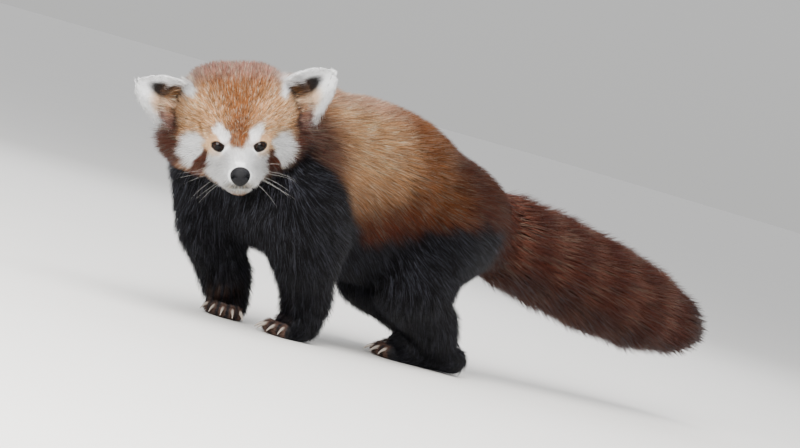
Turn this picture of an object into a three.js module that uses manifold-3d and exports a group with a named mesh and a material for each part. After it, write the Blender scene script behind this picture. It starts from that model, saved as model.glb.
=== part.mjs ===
import * as THREE from "three";
import { mergeVertices } from "three/addons/utils/BufferGeometryUtils.js";
import Module from "manifold-3d";

// A red panda standing with its head turned to its left. Sizes are in millimetres.
// +X is the animal's left, +Y runs back along the body to the tail, +Z is up, and the soles stand on z = 0.
// The outer surface of the coat is a soft blend of rounded cones and ellipsoids set on the joints below.
// Each node wraps that surface, and the long coat stands on a smaller core as flat, tapered locks.

const wasm = await Module();
wasm.setup();

// Driving sizes
const GAP = 0.35; // kept between neighbouring nodes
const BACK_HEIGHT = 277; // top of the back, coat included
const BELLY_HEIGHT = 76;
const HALF_WIDTH = 84; // half the width of the trunk
const HEAD = {
  at: [31, -125, 206.4],
  turn: { yaw: 57, pitch: 10, roll: -16.2 }, // degrees: turned left, nose down, tipped to the right
  skull: { x: 17, r: [50, 57, 54] }, // two masses side by side, which flatten the crown
  cheek: { x: 42, y: 12, z: -17, r: [38, 43, 33] },
};
const EYE = { x: 22, y: -43, z: -9.5, r: 8.2 };
const NOSE = { at: [0, -75, -34], half: [11, 6.5, 8.5] };
const EAR = {
  base: [57, 4, 26],
  tip: [102, 14, 54],
  lift: { left: 5, right: -5 }, // the two ears are held at unlike heights
  across: [-37, 0, 30],
  halfWidth: 26,
  cup: 12,
  rim: 5.5,
  fringe: { width: 14, thickness: 1.4 },
};
const COAT = { trunk: 17, tail: 32, leg: 11, cheek: 16 }; // depth of the coat where locks make it
const SOFTNESS = { head: 13, trunk: 34, neck: 20, tail: 24, leg: 18, paw: 7 }; // how softly masses run together

// Small vector helpers
const dot = (a, b) => a[0] * b[0] + a[1] * b[1] + a[2] * b[2];
const add = (a, b) => [a[0] + b[0], a[1] + b[1], a[2] + b[2]];
const sub = (a, b) => [a[0] - b[0], a[1] - b[1], a[2] - b[2]];
const times = (a, s) => [a[0] * s, a[1] * s, a[2] * s];
const cross = (a, b) => [a[1] * b[2] - a[2] * b[1], a[2] * b[0] - a[0] * b[2], a[0] * b[1] - a[1] * b[0]];
const size = (a) => Math.hypot(a[0], a[1], a[2]);
const unit = (a) => times(a, 1 / Math.max(size(a), 1e-9));
const mix = (a, b, t) => add(times(a, 1 - t), times(b, t));
const across = (a, n) => unit(sub(a, times(n, dot(a, n)))); // the part of a that lies across n
const ease = (t) => {
  const s = THREE.MathUtils.clamp(t, 0, 1);
  return s * s * (3 - 2 * s);
};

// A repeatable draw between -1 and 1
function dice(seed) {
  let state = seed;
  return () => {
    state = (state * 1664525 + 1013904223) % 4294967296;
    return (state / 4294967296) * 2 - 1;
  };
}

// Signed distances, negative inside
const cone = (a, ra, b, rb) => (p) => {
  const ab = sub(b, a);
  const t = THREE.MathUtils.clamp(dot(sub(p, a), ab) / dot(ab, ab), 0, 1);
  return size(sub(p, mix(a, b, t))) - (ra + (rb - ra) * t);
};
const ellipsoid = (c, r) => (p) => {
  const q = sub(p, c);
  const k0 = Math.hypot(q[0] / r[0], q[1] / r[1], q[2] / r[2]);
  const k1 = Math.hypot(q[0] / r[0] ** 2, q[1] / r[1] ** 2, q[2] / r[2] ** 2);
  return k1 < 1e-9 ? -Math.min(...r) : (k0 * (k0 - 1)) / k1;
};
const blend = (parts, softness) => (p) =>
  parts.reduce((d, part) => {
    const e = part(p);
    const h = Math.max(softness - Math.abs(d - e), 0) / softness;
    return Math.min(d, e) - (h * h * softness) / 4;
  }, 1e6);
const chain = (joints, softness) =>
  blend(joints.slice(1).map((b, i) => cone(joints[i].at, joints[i].r, b.at, b.r)), softness);
const slope = (field, p) =>
  unit([0, 1, 2].map((i) => {
    const step = [0, 0, 0];
    step[i] = 0.5;
    return field(add(p, step)) - field(sub(p, step));
  }));

// The head has a frame of its own: x to its left, y backwards, z up.
const headMatrix = new THREE.Matrix4()
  .makeRotationZ(THREE.MathUtils.degToRad(HEAD.turn.yaw))
  .multiply(new THREE.Matrix4().makeRotationX(THREE.MathUtils.degToRad(HEAD.turn.pitch)))
  .multiply(new THREE.Matrix4().makeRotationY(THREE.MathUtils.degToRad(HEAD.turn.roll)))
  .setPosition(...HEAD.at);
const headInverse = headMatrix.clone().invert();
const fromHead = (p) => new THREE.Vector3(...p).applyMatrix4(headMatrix).toArray();
const toHead = (p) => new THREE.Vector3(...p).applyMatrix4(headInverse).toArray();
const SIDES = [["left", 1], ["right", -1]];

// Masses of the head, in its own frame
const headMasses = blend(
  [
    ...SIDES.map(([, s]) => ellipsoid([s * HEAD.skull.x, 7, 14], HEAD.skull.r)),
    ...SIDES.map(([, s]) => ellipsoid([s * HEAD.cheek.x, HEAD.cheek.y, HEAD.cheek.z], HEAD.cheek.r)),
    cone([0, -26, -24], 31, [0, -61, -36], 17.5),
    cone([0, -8, -38], 26, [0, -55, -46], 13),
  ],
  SOFTNESS.head,
);
const headField = (p) => headMasses(toHead(p));
const cheekDepth = (p) => {
  const q = toHead(p);
  return COAT.cheek * ease((Math.abs(q[0]) - 30) / 25) * ease((q[1] + 30) / 30);
};

// Masses of the trunk and the neck
const SHOULDERS = [[-62, -58, 152, 53, -57, -49, 112, 44], [56, -36, 148, 50, 53, -5, 112, 42]];
const THIGHS = [[46, 188, 148, 56, 53, 166, 112, 47], [-46, 214, 148, 56, -53, 198, 112, 47]];
const trunkField = blend(
  [
    ellipsoid([0, -14, 181], [HALF_WIDTH, 87, BACK_HEIGHT - 181]),
    ellipsoid([0, 70, 176], [HALF_WIDTH, 100, 176 - BELLY_HEIGHT]),
    ellipsoid([0, 140, 171], [82, 95, 99]),
    ellipsoid([0, 222, 164], [78, 82, 77]),
    ...[...SHOULDERS, ...THIGHS].map(([x, y, z, r, x2, y2, z2, r2]) => cone([x, y, z], r, [x2, y2, z2], r2)),
  ],
  SOFTNESS.trunk,
);
const NECK = [
  { at: [20, -96, 201], r: 52 },
  { at: [0, -26, 199], r: 73 },
];
const bodyField = blend([trunkField, chain(NECK, SOFTNESS.neck)], SOFTNESS.neck);
const NECK_CUT = { at: [0, -60, 215], facing: unit([0.2, -0.7, 0.68]) }; // the neck ends and the torso starts here
const TAIL = [
  { at: [0, 255, 168], r: 54 },
  { at: [0, 330, 162], r: 55 },
  { at: [0, 410, 150], r: 58 },
  { at: [2, 490, 137], r: 59 },
  { at: [6, 570, 124], r: 54 },
  { at: [12, 632, 115], r: 40 },
  { at: [15, 660, 112], r: 24 },
];
const tailField = chain(TAIL, SOFTNESS.tail);

// Each leg runs down its joints to a paw. The yaw turns the toes from straight ahead to the animal's left.
const LEGS = [
  {
    name: "foreleg_right",
    joints: [
      { at: [-56, -54, 128], r: 34 },
      { at: [-54, -43, 86], r: 36 },
      { at: [-48, -16, 46], r: 30 },
      { at: [-47, -6, 36], r: 25 },
    ],
    paw: { at: [-47, -2], yaw: 45, heel: 6 },
  },
  {
    name: "foreleg_left",
    joints: [
      { at: [55, -26, 128], r: 34 },
      { at: [52, 4, 86], r: 35 },
      { at: [46, 26, 46], r: 29 },
      { at: [45, 30, 36], r: 25 },
    ],
    paw: { at: [44, 25], yaw: -10, heel: 6 },
  },
  {
    name: "hindleg_right",
    joints: [
      { at: [-46, 218, 126], r: 40 },
      { at: [-54, 200, 84], r: 43 },
      { at: [-52, 276, 50], r: 28 },
      { at: [-50, 292, 36], r: 22 },
    ],
    paw: { at: [-42, 276], yaw: 16, heel: 54 },
  },
  {
    name: "hindleg_left",
    joints: [
      { at: [46, 190, 126], r: 40 },
      { at: [54, 168, 84], r: 42 },
      { at: [52, 214, 50], r: 30 },
      { at: [54, 228, 36], r: 23 },
    ],
    paw: { at: [30, 206], yaw: -30, heel: 54 },
  },
];

// Toes of a paw, in the paw's own frame: x across, -y ahead
const TOES = [-34, -17, 0, 17, 34].map((angle, i) => ({
  name: `claw_${i + 1}`,
  angle: THREE.MathUtils.degToRad(angle),
  reach: 33 - Math.abs(i - 2) * 2.5,
}));
const TOE_RADIUS = 8;
const CLAW = { length: 15, width: 2.3, height: 3.4, root: 6, drop: 9 };
const toeAt = ({ angle, reach }, ahead = 0, z = TOE_RADIUS) => [
  Math.sin(angle) * (reach + ahead),
  -Math.cos(angle) * (reach + ahead),
  z,
];
const pawMasses = (heel) =>
  blend(
    [
      ellipsoid([0, 0, 16], [23, 21, 20]),
      cone([0, 0, 17], 19, [0, heel, 17], 17.5),
      ...TOES.map((toe) => cone(times(toeAt(toe), 0.35), 10, toeAt(toe), TOE_RADIUS)),
    ],
    SOFTNESS.paw,
  );
const pawMatrix = ({ at, yaw }) =>
  new THREE.Matrix4().makeRotationZ(THREE.MathUtils.degToRad(yaw)).setPosition(at[0], at[1], 0);

// A solid from points and triangles, turned to face out
function solidOf(points, faces) {
  const volume = faces.reduce((sum, [a, b, c]) => sum + dot(points[a], cross(points[b], points[c])), 0);
  const out = volume < 0 ? faces.map(([a, b, c]) => [a, c, b]) : faces;
  const mesh = new wasm.Mesh({
    numProp: 3,
    vertProperties: new Float32Array(points.flat()),
    triVerts: new Uint32Array(out.flat()),
  });
  mesh.merge();
  return new wasm.Manifold(mesh);
}
// Drops faces that have shrunk to a line, and pairs of faces that lie back to back.
function withoutFlats(faces) {
  const seen = new Map();
  for (const face of faces) {
    if (new Set(face).size < 3) continue;
    const key = [...face].sort((a, b) => a - b).join();
    if (seen.has(key)) seen.delete(key);
    else seen.set(key, face);
  }
  return [...seen.values()];
}
const solidOfGeometry = (geometry, merge = 1e-4) => {
  geometry.deleteAttribute("normal");
  geometry.deleteAttribute("uv");
  const merged = mergeVertices(geometry, merge);
  const { array } = merged.attributes.position;
  const points = Array.from({ length: array.length / 3 }, (_, i) => [...array.slice(3 * i, 3 * i + 3)]);
  const index = [...merged.index.array];
  const faces = Array.from({ length: index.length / 3 }, (_, i) => index.slice(3 * i, 3 * i + 3));
  return solidOf(points, withoutFlats(faces));
};

// Rings of equal count, closed at each end by a point
function tubeOf(rings, first, last) {
  const sides = rings[0].length;
  const points = [first, ...rings.flat(), last];
  const faces = [];
  const at = (ring, k) => 1 + ring * sides + (k % sides);
  for (let k = 0; k < sides; k++) {
    faces.push([0, at(0, k), at(0, k + 1)]);
    faces.push([points.length - 1, at(rings.length - 1, k + 1), at(rings.length - 1, k)]);
    for (let ring = 0; ring + 1 < rings.length; ring++) {
      faces.push([at(ring, k), at(ring + 1, k), at(ring + 1, k + 1)]);
      faces.push([at(ring, k), at(ring + 1, k + 1), at(ring, k + 1)]);
    }
  }
  return solidOf(points, faces);
}

// The point where a ray from inside a field first reaches a level
function reachFrom(field, origin, direction, level) {
  let r = 0;
  for (let i = 0; i < 60; i++) {
    const rest = level - field(add(origin, times(direction, r)));
    r += rest * 0.9;
    if (Math.abs(rest) < 0.01) break;
  }
  return add(origin, times(direction, r));
}

// A path through a node, with a square frame at any length along it.
// All its rings lie in planes that face one way, so that they never cross where the path bends.
function pathOf(points, up, facing) {
  const curve = new THREE.CatmullRomCurve3(points.map((p) => new THREE.Vector3(...p)), false, "centripetal");
  const ahead = unit(facing ?? sub(points.at(-1), points[0]));
  return (u) => {
    const side = unit(cross(up, ahead));
    return { at: curve.getPointAt(u).toArray(), ahead, side, top: cross(ahead, side) };
  };
}
const rayAt = (frame, angle, lean = 0) => {
  const round = add(times(frame.side, Math.cos(angle)), times(frame.top, Math.sin(angle)));
  return add(times(round, Math.cos(lean)), times(frame.ahead, Math.sin(lean)));
};

// A closed skin at one level of a field: rings round a path, with a fan of rings over each end
function wrap(field, { path, rings, sides, fan = 4 }, level) {
  const list = [];
  for (let i = 1; i <= fan; i++) list.push([0, -(Math.PI / 2) * (1 - i / fan)]);
  for (let i = 1; i < rings; i++) list.push([i / rings, 0]);
  for (let i = 0; i < fan; i++) list.push([1, (Math.PI / 2) * (i / fan)]);
  const rows = list.map(([u, lean]) => {
    const frame = path(u);
    return Array.from({ length: sides }, (_, k) =>
      reachFrom(field, frame.at, rayAt(frame, (2 * Math.PI * k) / sides, lean), level));
  });
  const ends = [0, 1].map((u) => {
    const frame = path(u);
    return reachFrom(field, frame.at, times(frame.ahead, u ? 1 : -1), level);
  });
  return tubeOf(rows, ends[0], ends[1]);
}

// One flat, tapered lock along a line of points, thin towards `ups` and wide across them.
// Where a neighbour is cut clear of it, its sharp edges and tip need more room than its faces.
const LOCK_PROFILE = [0.8, 1, 0.66];
const ROOM = { edge: 4, face: 1.5, tip: 8 };
function lockOf(spine, ups, width, thickness, grow) {
  const rings = LOCK_PROFILE.map((share, i) => {
    const side = unit(cross(ups[i], sub(spine[i + 1], spine[i])));
    const half = times(side, (width / 2) * share + ROOM.edge * grow);
    const thick = times(ups[i], thickness * share + ROOM.face * grow);
    return [half, thick, times(half, -1), times(thick, -1)].map((v) => add(spine[i], v));
  });
  const heading = unit(sub(spine.at(-1), spine.at(-2)));
  return tubeOf(rings, mix(rings[0][0], rings[0][2], 0.5), add(spine.at(-1), times(heading, ROOM.tip * grow)));
}

// A lock of the coat leaves the core, bends over along the lie and follows the coat's surface.
// Its tip runs on straight, so it stands clear where the body curves away.
const SINK = 4; // how far a root is sunk in the core
const HUGS = 0.7; // the share of a lock that follows the surface
function layLock(field, { root, lie, depth, length, width, thickness }) {
  const spine = [];
  const ups = [];
  let p = root;
  let heading = lie;
  for (let i = 0; i <= LOCK_PROFILE.length; i++) {
    const t = i / LOCK_PROFILE.length;
    const up = slope(field, p);
    if (t <= HUGS) {
      const level = THREE.MathUtils.lerp(-depth / 2 - SINK, 0, ease(t / HUGS));
      p = add(p, times(up, level - field(p)));
      heading = across(lie, up);
    }
    spine.push(p);
    ups.push(across(up, heading));
    p = add(p, times(heading, length / LOCK_PROFILE.length));
  }
  return { spine, ups, width, thickness };
}

// A lock laid across a sharp crease of the body would fold on itself, so it is left out.
const SHARPEST = Math.cos(THREE.MathUtils.degToRad(48));
function liesWell({ spine, ups }) {
  const steps = spine.slice(1).map((p, i) => unit(sub(p, spine[i])));
  return [steps, ups].every((list) => list.slice(1).every((v, i) => dot(v, list[i]) > SHARPEST));
}

// Staggered rows of locks over part of a node. `arc` limits their turn round the path, in degrees.
function coatOf(field, { path, from, to, rows, count, arc = [0, 360], lie, seed, depth, length, width, thickness }) {
  const draw = dice(seed);
  const list = [];
  for (let row = 0; row < rows; row++) {
    for (let k = 0; k < count; k++) {
      const share = (k + (row % 2) / 2 + 0.25 + 0.2 * draw()) / count;
      const angle = THREE.MathUtils.degToRad(arc[0] + (arc[1] - arc[0]) * share);
      const u = from + ((to - from) * (row + 0.25 * draw())) / Math.max(rows - 1, 1);
      const frame = path(THREE.MathUtils.clamp(u, 0, 1));
      const root = reachFrom(field, frame.at, rayAt(frame, angle), -depth / 2);
      const stray = times([draw(), draw(), draw()], 0.1);
      list.push({
        root,
        lie: add(unit(lie(root, frame)), stray),
        depth,
        length: length * (1 + 0.15 * draw()),
        width: width * (1 + 0.12 * draw()),
        thickness,
      });
    }
  }
  return list;
}

// A node of flesh: its core reaches half way into the coat, and its locks reach the coat's surface.
const furred = (field, depth, shape, coats) => {
  const core = (p) => field(p) + depth(p) / 2;
  const locks = coats.flatMap((coat) => coatOf(field, coat).map((lock) => layLock(field, lock))).filter(liesWell);
  return (grow) =>
    unionOf([wrap(core, shape, grow), ...locks.map((l) => lockOf(l.spine, l.ups, l.width, l.thickness, grow))]);
};

const unionOf = (solids) => wasm.Manifold.union(solids);
const largest = (solid) => solid.decompose().sort((a, b) => b.volume() - a.volume())[0];

// Every point ends on a fine lattice, so that near points are one point. What that parts from a node is dropped.
// The first lattice is taken on which every edge has just two faces.
const LATTICES = [0.002, 0.0024, 0.003, 0.0037, 0.0045, 0.006, 0.01];
const onLattice = (x, step = LATTICES[0]) => Math.round(x / step) * step;
function geometryOf(solid, step) {
  const { vertProperties, triVerts, numProp } = solid.getMesh();
  const geometry = new THREE.BufferGeometry();
  const points = Array.from({ length: vertProperties.length / numProp }, (_, i) =>
    [...vertProperties.subarray(i * numProp, i * numProp + 3)].map((x) => onLattice(x, step)));
  geometry.setAttribute("position", new THREE.Float32BufferAttribute(points.flat(), 3));
  geometry.setIndex([...triVerts]);
  return geometry;
}
function hasPlainEdges(geometry) {
  const { array } = geometry.index;
  const { array: xyz } = geometry.attributes.position;
  const key = (v) => xyz.subarray(3 * v, 3 * v + 3).join();
  const faces = new Map();
  for (let i = 0; i < array.length; i++) {
    const ends = [array[i], array[i % 3 === 2 ? i - 2 : i + 1]].map(key).sort().join("/");
    faces.set(ends, (faces.get(ends) ?? 0) + 1);
  }
  return [...faces.values()].every((count) => count === 2);
}
function settled(solid) {
  let geometry;
  for (const step of LATTICES) {
    let body = largest(solid);
    for (let pass = 0; pass < 3; pass++) body = largest(solidOfGeometry(geometryOf(body, step), step / 2));
    geometry = geometryOf(body, step);
    if (hasPlainEdges(geometry)) break;
  }
  return geometry;
}

// Paths through the nodes
const PATHS = {
  head: pathOf([[0, -56, -36], [0, -30, -16], [0, 4, 4], [0, 20, 12]].map(fromHead), [0, 0, 1]),
  body: pathOf([[14, -84, 196], [0, -20, 181], [0, 60, 176], [0, 140, 172], [0, 238, 165]], [0, 0, 1]),
  tail: pathOf(TAIL.map((b) => b.at), [0, 0, 1]),
};

// Facial pieces are made in the head's frame and then placed.
const placed = (solid, matrix) => solid.transform(matrix.elements);
const ball = (at, r, detail) => {
  const geometry = new THREE.SphereGeometry(1, detail, Math.round(detail * 0.7));
  geometry.scale(...r);
  geometry.translate(...at);
  return solidOfGeometry(geometry);
};
const eye = (s, grow) =>
  placed(ball([s * EYE.x, EYE.y, EYE.z], Array(3).fill(EYE.r + grow), 12), headMatrix);
function nose(grow) {
  const pad = ball(NOSE.at, NOSE.half.map((r) => r + grow), 14);
  const nostrils = SIDES.map(([, s]) => ball(add(NOSE.at, [s * 5.4, -5.2, -1.5]), [2.4, 4, 2], 8));
  return placed(pad.subtract(unionOf(nostrils)), headMatrix);
}

// A round tube along a line, pointed at both ends
function tubeAlong(points, radius, sides) {
  const rings = points.slice(1, -1).map((p, i) => {
    const ahead = unit(sub(points[i + 2], points[i]));
    const side = unit(cross(ahead, [0.1, 0.2, 1]));
    const top = cross(ahead, side);
    return Array.from({ length: sides }, (_, k) => {
      const a = (2 * Math.PI * k) / sides;
      return add(p, add(times(side, radius * Math.cos(a)), times(top, radius * Math.sin(a))));
    });
  });
  return tubeOf(rings, points[0], points.at(-1));
}

// Lids: an almond rim round the part of the eye that shows
const LID = { width: 7.4, height: 4.9, tilt: 0.18, radius: 1.7, stand: 0.6 };
function lids(s) {
  const turns = 12;
  const points = Array.from({ length: turns }, (_, i) => {
    const a = (2 * Math.PI * i) / turns;
    const x = LID.width * Math.cos(a);
    const z = LID.height * Math.sin(a) * (1 - 0.15 * Math.cos(a) ** 2) + LID.tilt * x;
    const reach = EYE.r + LID.stand;
    return new THREE.Vector3(s * (EYE.x + x), EYE.y - Math.sqrt(reach ** 2 - x * x - z * z), EYE.z + z);
  });
  const loop = new THREE.CatmullRomCurve3(points, true);
  return solidOfGeometry(new THREE.TubeGeometry(loop, turns, LID.radius, 4, true));
}

// The mouth runs from under the nose back along both sides of the muzzle.
const MOUTH = { corner: [22, -38, -45], middle: [0, -72, -46], lip: 2.6, line: 1.1 };
function mouthLine(level) {
  const steps = 6;
  return Array.from({ length: 2 * steps + 1 }, (_, i) => {
    const t = (i - steps) / steps;
    let p = [MOUTH.corner[0] * Math.sin((t * Math.PI) / 2), 0, 0];
    p[1] = MOUTH.middle[1] + (MOUTH.corner[1] - MOUTH.middle[1]) * (1 - Math.cos((t * Math.PI) / 2));
    p[2] = MOUTH.middle[2] + (MOUTH.corner[2] - MOUTH.middle[2]) * t * t - 2.5 * Math.sin(Math.PI * Math.abs(t));
    for (let k = 0; k < 3; k++) p = add(p, times(slope(headMasses, p), level - headMasses(p)));
    return p;
  });
}

// The ear is a curved leaf with a hollow front. `u` runs from base to tip and `v` from edge to edge.
const EAR_STEPS = 5;
const FRINGE = [
  { u: 0.05, v: -0.9, out: 7, down: 24 },
  { u: 0.24, v: -0.92, out: 9, down: 21 },
  { u: 0.44, v: -0.92, out: 9, down: 16 },
  { u: 0.64, v: -0.9, out: 8, down: 10 },
  { u: 0.84, v: -0.8, out: 7, down: 4 },
];
function ear(name, s, grow) {
  const mirror = (p) => fromHead([s * p[0], p[1], p[2]]);
  const axis = add(sub(EAR.tip, EAR.base), [0, 0, EAR.lift[name]]);
  const side = unit(EAR.across);
  const back = unit(cross(side, unit(axis)));
  const sheet = (u, v, face) => {
    const half = EAR.halfWidth * Math.sqrt(Math.max(1 - Math.max(u, 0) ** 2.2, 0)) + grow;
    const hollow = EAR.cup * (1 - v * v) * (1 - 0.55 * Math.max(u, 0) ** 2);
    const thick = (EAR.rim + 3 * (1 - Math.max(u, 0)) * (1 - v * v)) / 2 + grow;
    const middle = add(add(EAR.base, times(axis, u)), times(side, v * half));
    return mirror(add(middle, times(back, hollow - EAR.cup * 0.5 + face * thick)));
  };
  const rows = [];
  for (let i = 0; i <= EAR_STEPS; i++) {
    const u = -0.35 + (1.35 * i) / EAR_STEPS - (i === EAR_STEPS ? 0.03 : 0);
    const ring = [];
    for (let k = 0; k <= EAR_STEPS; k++) ring.push(sheet(u, -1 + (2 * k) / EAR_STEPS, 1));
    for (let k = EAR_STEPS; k >= 0; k--) ring.push(sheet(u, -1 + (2 * k) / EAR_STEPS, -1));
    rows.push(ring);
  }
  const middleOf = (ring) => times(ring.reduce(add), 1 / ring.length);
  const tip = add(middleOf(rows.at(-1)), times(sub(mirror(axis), mirror([0, 0, 0])), 0.05));
  const leaf = tubeOf(rows, middleOf(rows[0]), tip);
  const up = unit(sub(mirror(back), mirror([0, 0, 0])));
  const fringe = FRINGE.map(({ u, v, out, down }) => {
    const from = sheet(u, v, 0);
    const outward = unit(sub(mirror(add(times(side, v), times(unit(axis), 0.3))), mirror([0, 0, 0])));
    const drop = unit(sub(mirror([0.2, 0.3, -1]), mirror([0, 0, 0])));
    const spine = LOCK_PROFILE.concat(0).map((_, i) => {
      const t = i / LOCK_PROFILE.length;
      return add(from, add(times(outward, -4 + (out + 4) * t), times(drop, down * t * t)));
    });
    return lockOf(spine, spine.map(() => up), EAR.fringe.width, EAR.fringe.thickness, grow);
  });
  return unionOf([leaf, ...fringe]);
}

// Paws are made in their own frame, cut flat where they stand, and then placed.
const below = solidOfGeometry(new THREE.BoxGeometry(2000, 2000, 2000).translate(0, 0, -1000)); // all under z = 0
function paw({ paw: spec }, grow) {
  const field = pawMasses(spec.heel);
  const path = pathOf([[0, -16, 11], [0, 0, 14], [0, spec.heel, 15]], [0, 0, 1]);
  const body = wrap(field, { path, rings: spec.heel > 20 ? 3 : 2, sides: 10, fan: 3 }, grow);
  const toes = TOES.map((toe) => {
    const from = times(toeAt(toe), 0.3);
    const toePath = pathOf([from, toeAt(toe, -1)], [0, 0, 1]);
    const toeField = cone(times(toeAt(toe), 0.35), 9, toeAt(toe), TOE_RADIUS);
    return wrap(toeField, { path: toePath, rings: 1, sides: 6, fan: 2 }, grow);
  });
  return placed(unionOf([body, ...toes]).subtract(below), pawMatrix(spec));
}

// A claw leaves the toe and hooks down to a point just above the floor.
function claw({ paw: spec }, toe) {
  const rings = [];
  const count = 3;
  const pointAt = (t) => toeAt(toe, -CLAW.root + (TOE_RADIUS + CLAW.root) * 0.6 + CLAW.length * Math.sin(t * 1.1),
    TOE_RADIUS + 2.4 - CLAW.drop * (1 - Math.cos(t * 1.45)));
  for (let i = 0; i < count; i++) {
    const t = i / count;
    const p = pointAt(t);
    const ahead = unit(sub(pointAt(t + 0.1), p));
    const side = [Math.cos(toe.angle), Math.sin(toe.angle), 0];
    const up = cross(side, ahead);
    const taper = 1 - 0.8 * t;
    rings.push(Array.from({ length: 5 }, (_, k) => {
      const a = (2 * Math.PI * k) / 5;
      return add(p, add(times(side, CLAW.width * taper * Math.cos(a)), times(up, CLAW.height * taper * Math.sin(a))));
    }));
  }
  return placed(tubeOf(rings, pointAt(0), pointAt(1)), pawMatrix(spec));
}

// Materials by the colour of the real coat
const material = (color, roughness = 0.9) => new THREE.MeshStandardMaterial({ color, roughness, metalness: 0 });
const MATERIALS = {
  tan: material("#9c5a2c"),
  rust: material("#8a3f1c"),
  tail: material("#7c3620"),
  black: material("#17120f"),
  white: material("#e6ddd0"),
  eye: material("#120b07", 0.1),
  nose: material("#16130f", 0.4),
  claw: material("#cfc3ad", 0.45),
};

// The body is wrapped whole and parted at the foot of the neck. `side` is 1 for the neck and -1 for the torso.
function body(make, grow, side) {
  const whole = make(grow);
  const facing = new THREE.Quaternion().setFromUnitVectors(
    new THREE.Vector3(0, 0, side),
    new THREE.Vector3(...NECK_CUT.facing),
  );
  const half = new THREE.Matrix4().compose(
    new THREE.Vector3(...NECK_CUT.at).addScaledVector(new THREE.Vector3(...NECK_CUT.facing), -side * grow),
    facing,
    new THREE.Vector3(1, 1, 1),
  );
  return whole.subtract(placed(below, half));
}

// Nodes in the order in which they take their room. Each later one is cut clear of the earlier ones it meets.
const nodes = [];
const grown = new Map();
function node(name, make, colour, meets) {
  let solid = make(0);
  for (const other of meets) solid = solid.subtract(grown.get(other));
  nodes.push({ name, solid: largest(solid), colour });
  grown.set(name, make(GAP));
}

for (const [side, s] of SIDES) node(`eye_${side}`, (grow) => eye(s, grow), "eye", []);
node("nose", nose, "nose", []);

const cheekCoats = SIDES.map(([, s]) => ({
  path: PATHS.head,
  from: 0.62,
  to: 0.98,
  rows: 2,
  count: 4,
  arc: s > 0 ? [150, 240] : [-60, 30],
  lie: () => sub(fromHead([s * 0.7, 0.75, -0.35]), fromHead([0, 0, 0])),
  seed: 11 + s,
  depth: COAT.cheek,
  length: 34,
  width: 22,
  thickness: 2,
}));
const headCoat = furred(headField, cheekDepth, { path: PATHS.head, rings: 9, sides: 22, fan: 4 }, cheekCoats);
function head(grow) {
  const lips = tubeAlong(mouthLine(0), MOUTH.lip, 5);
  const flesh = unionOf([headCoat(grow), placed(unionOf([lips, ...SIDES.map(([, s]) => lids(s))]), headMatrix)]);
  return grow ? flesh : flesh.subtract(placed(tubeAlong(mouthLine(2.2), MOUTH.line, 4), headMatrix));
}
node("head", head, "tan", ["eye_left", "eye_right", "nose"]);
for (const [side, s] of SIDES) node(`ear_${side}`, (grow) => ear(side, s, grow), "white", ["head"]);

const bodyCoat = furred(bodyField, () => COAT.trunk, { path: PATHS.body, rings: 10, sides: 18, fan: 3 }, [
  {
    path: PATHS.body,
    from: 0.02,
    to: 1,
    rows: 6,
    count: 6,
    lie: (p) => [0, 1, -0.6 * ease((250 - p[2]) / 80)],
    seed: 24,
    depth: COAT.trunk,
    length: 104,
    width: 68,
    thickness: 3.5,
  },
]);
node("neck", (grow) => body(bodyCoat, grow, 1), "black", ["head", "ear_left", "ear_right"]);
node("torso", (grow) => body(bodyCoat, grow, -1), "rust", ["neck", "head", "ear_left", "ear_right"]);
const tailCoat = furred(tailField, () => COAT.tail, { path: PATHS.tail, rings: 7, sides: 10, fan: 2 }, [
  {
    path: PATHS.tail,
    from: 0.1,
    to: 0.97,
    rows: 7,
    count: 6,
    lie: (p, frame) => frame.ahead,
    seed: 9,
    depth: COAT.tail,
    length: 94,
    width: 46,
    thickness: 3.2,
  },
]);
node("tail", tailCoat, "tail", ["torso"]);
for (const leg of LEGS) node(`${leg.name}_paw`, (grow) => paw(leg, grow), "black", []);
LEGS.forEach((leg, i) => {
  const path = pathOf(leg.joints.map((b) => b.at), [0, 1, 0], [0, 0, -1]);
  const field = chain(leg.joints, SOFTNESS.leg);
  const coat = furred(field, () => COAT.leg, { path, rings: 4, sides: 9, fan: 2 }, [
    {
      path,
      from: 0.4,
      to: 0.85,
      rows: 2,
      count: 3,
      lie: () => [0, 0.35, -1],
      seed: 21 + i,
      depth: COAT.leg,
      length: 36,
      width: 34,
      thickness: 2.2,
    },
  ]);
  node(leg.name, coat, "black", ["torso", "neck", `${leg.name}_paw`]);
});
for (const leg of LEGS) {
  for (const toe of TOES) {
    node(`${leg.name}_${toe.name}`, () => claw(leg, toe), "claw", [`${leg.name}_paw`]);
  }
}

// The finished group, with its origin under the middle of its box
const model = new THREE.Group();
for (const { name, solid, colour } of nodes) {
  const mesh = new THREE.Mesh(settled(solid), MATERIALS[colour]);
  mesh.name = name;
  model.add(mesh);
}
const box = new THREE.Box3().setFromObject(model);
const centre = box.getCenter(new THREE.Vector3());
model.position.set(onLattice(-centre.x), onLattice(-centre.y), onLattice(-box.min.z));

export default model;
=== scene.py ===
import math
import bmesh
import bpy
import numpy as np
from mathutils import Matrix, Vector


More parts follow.
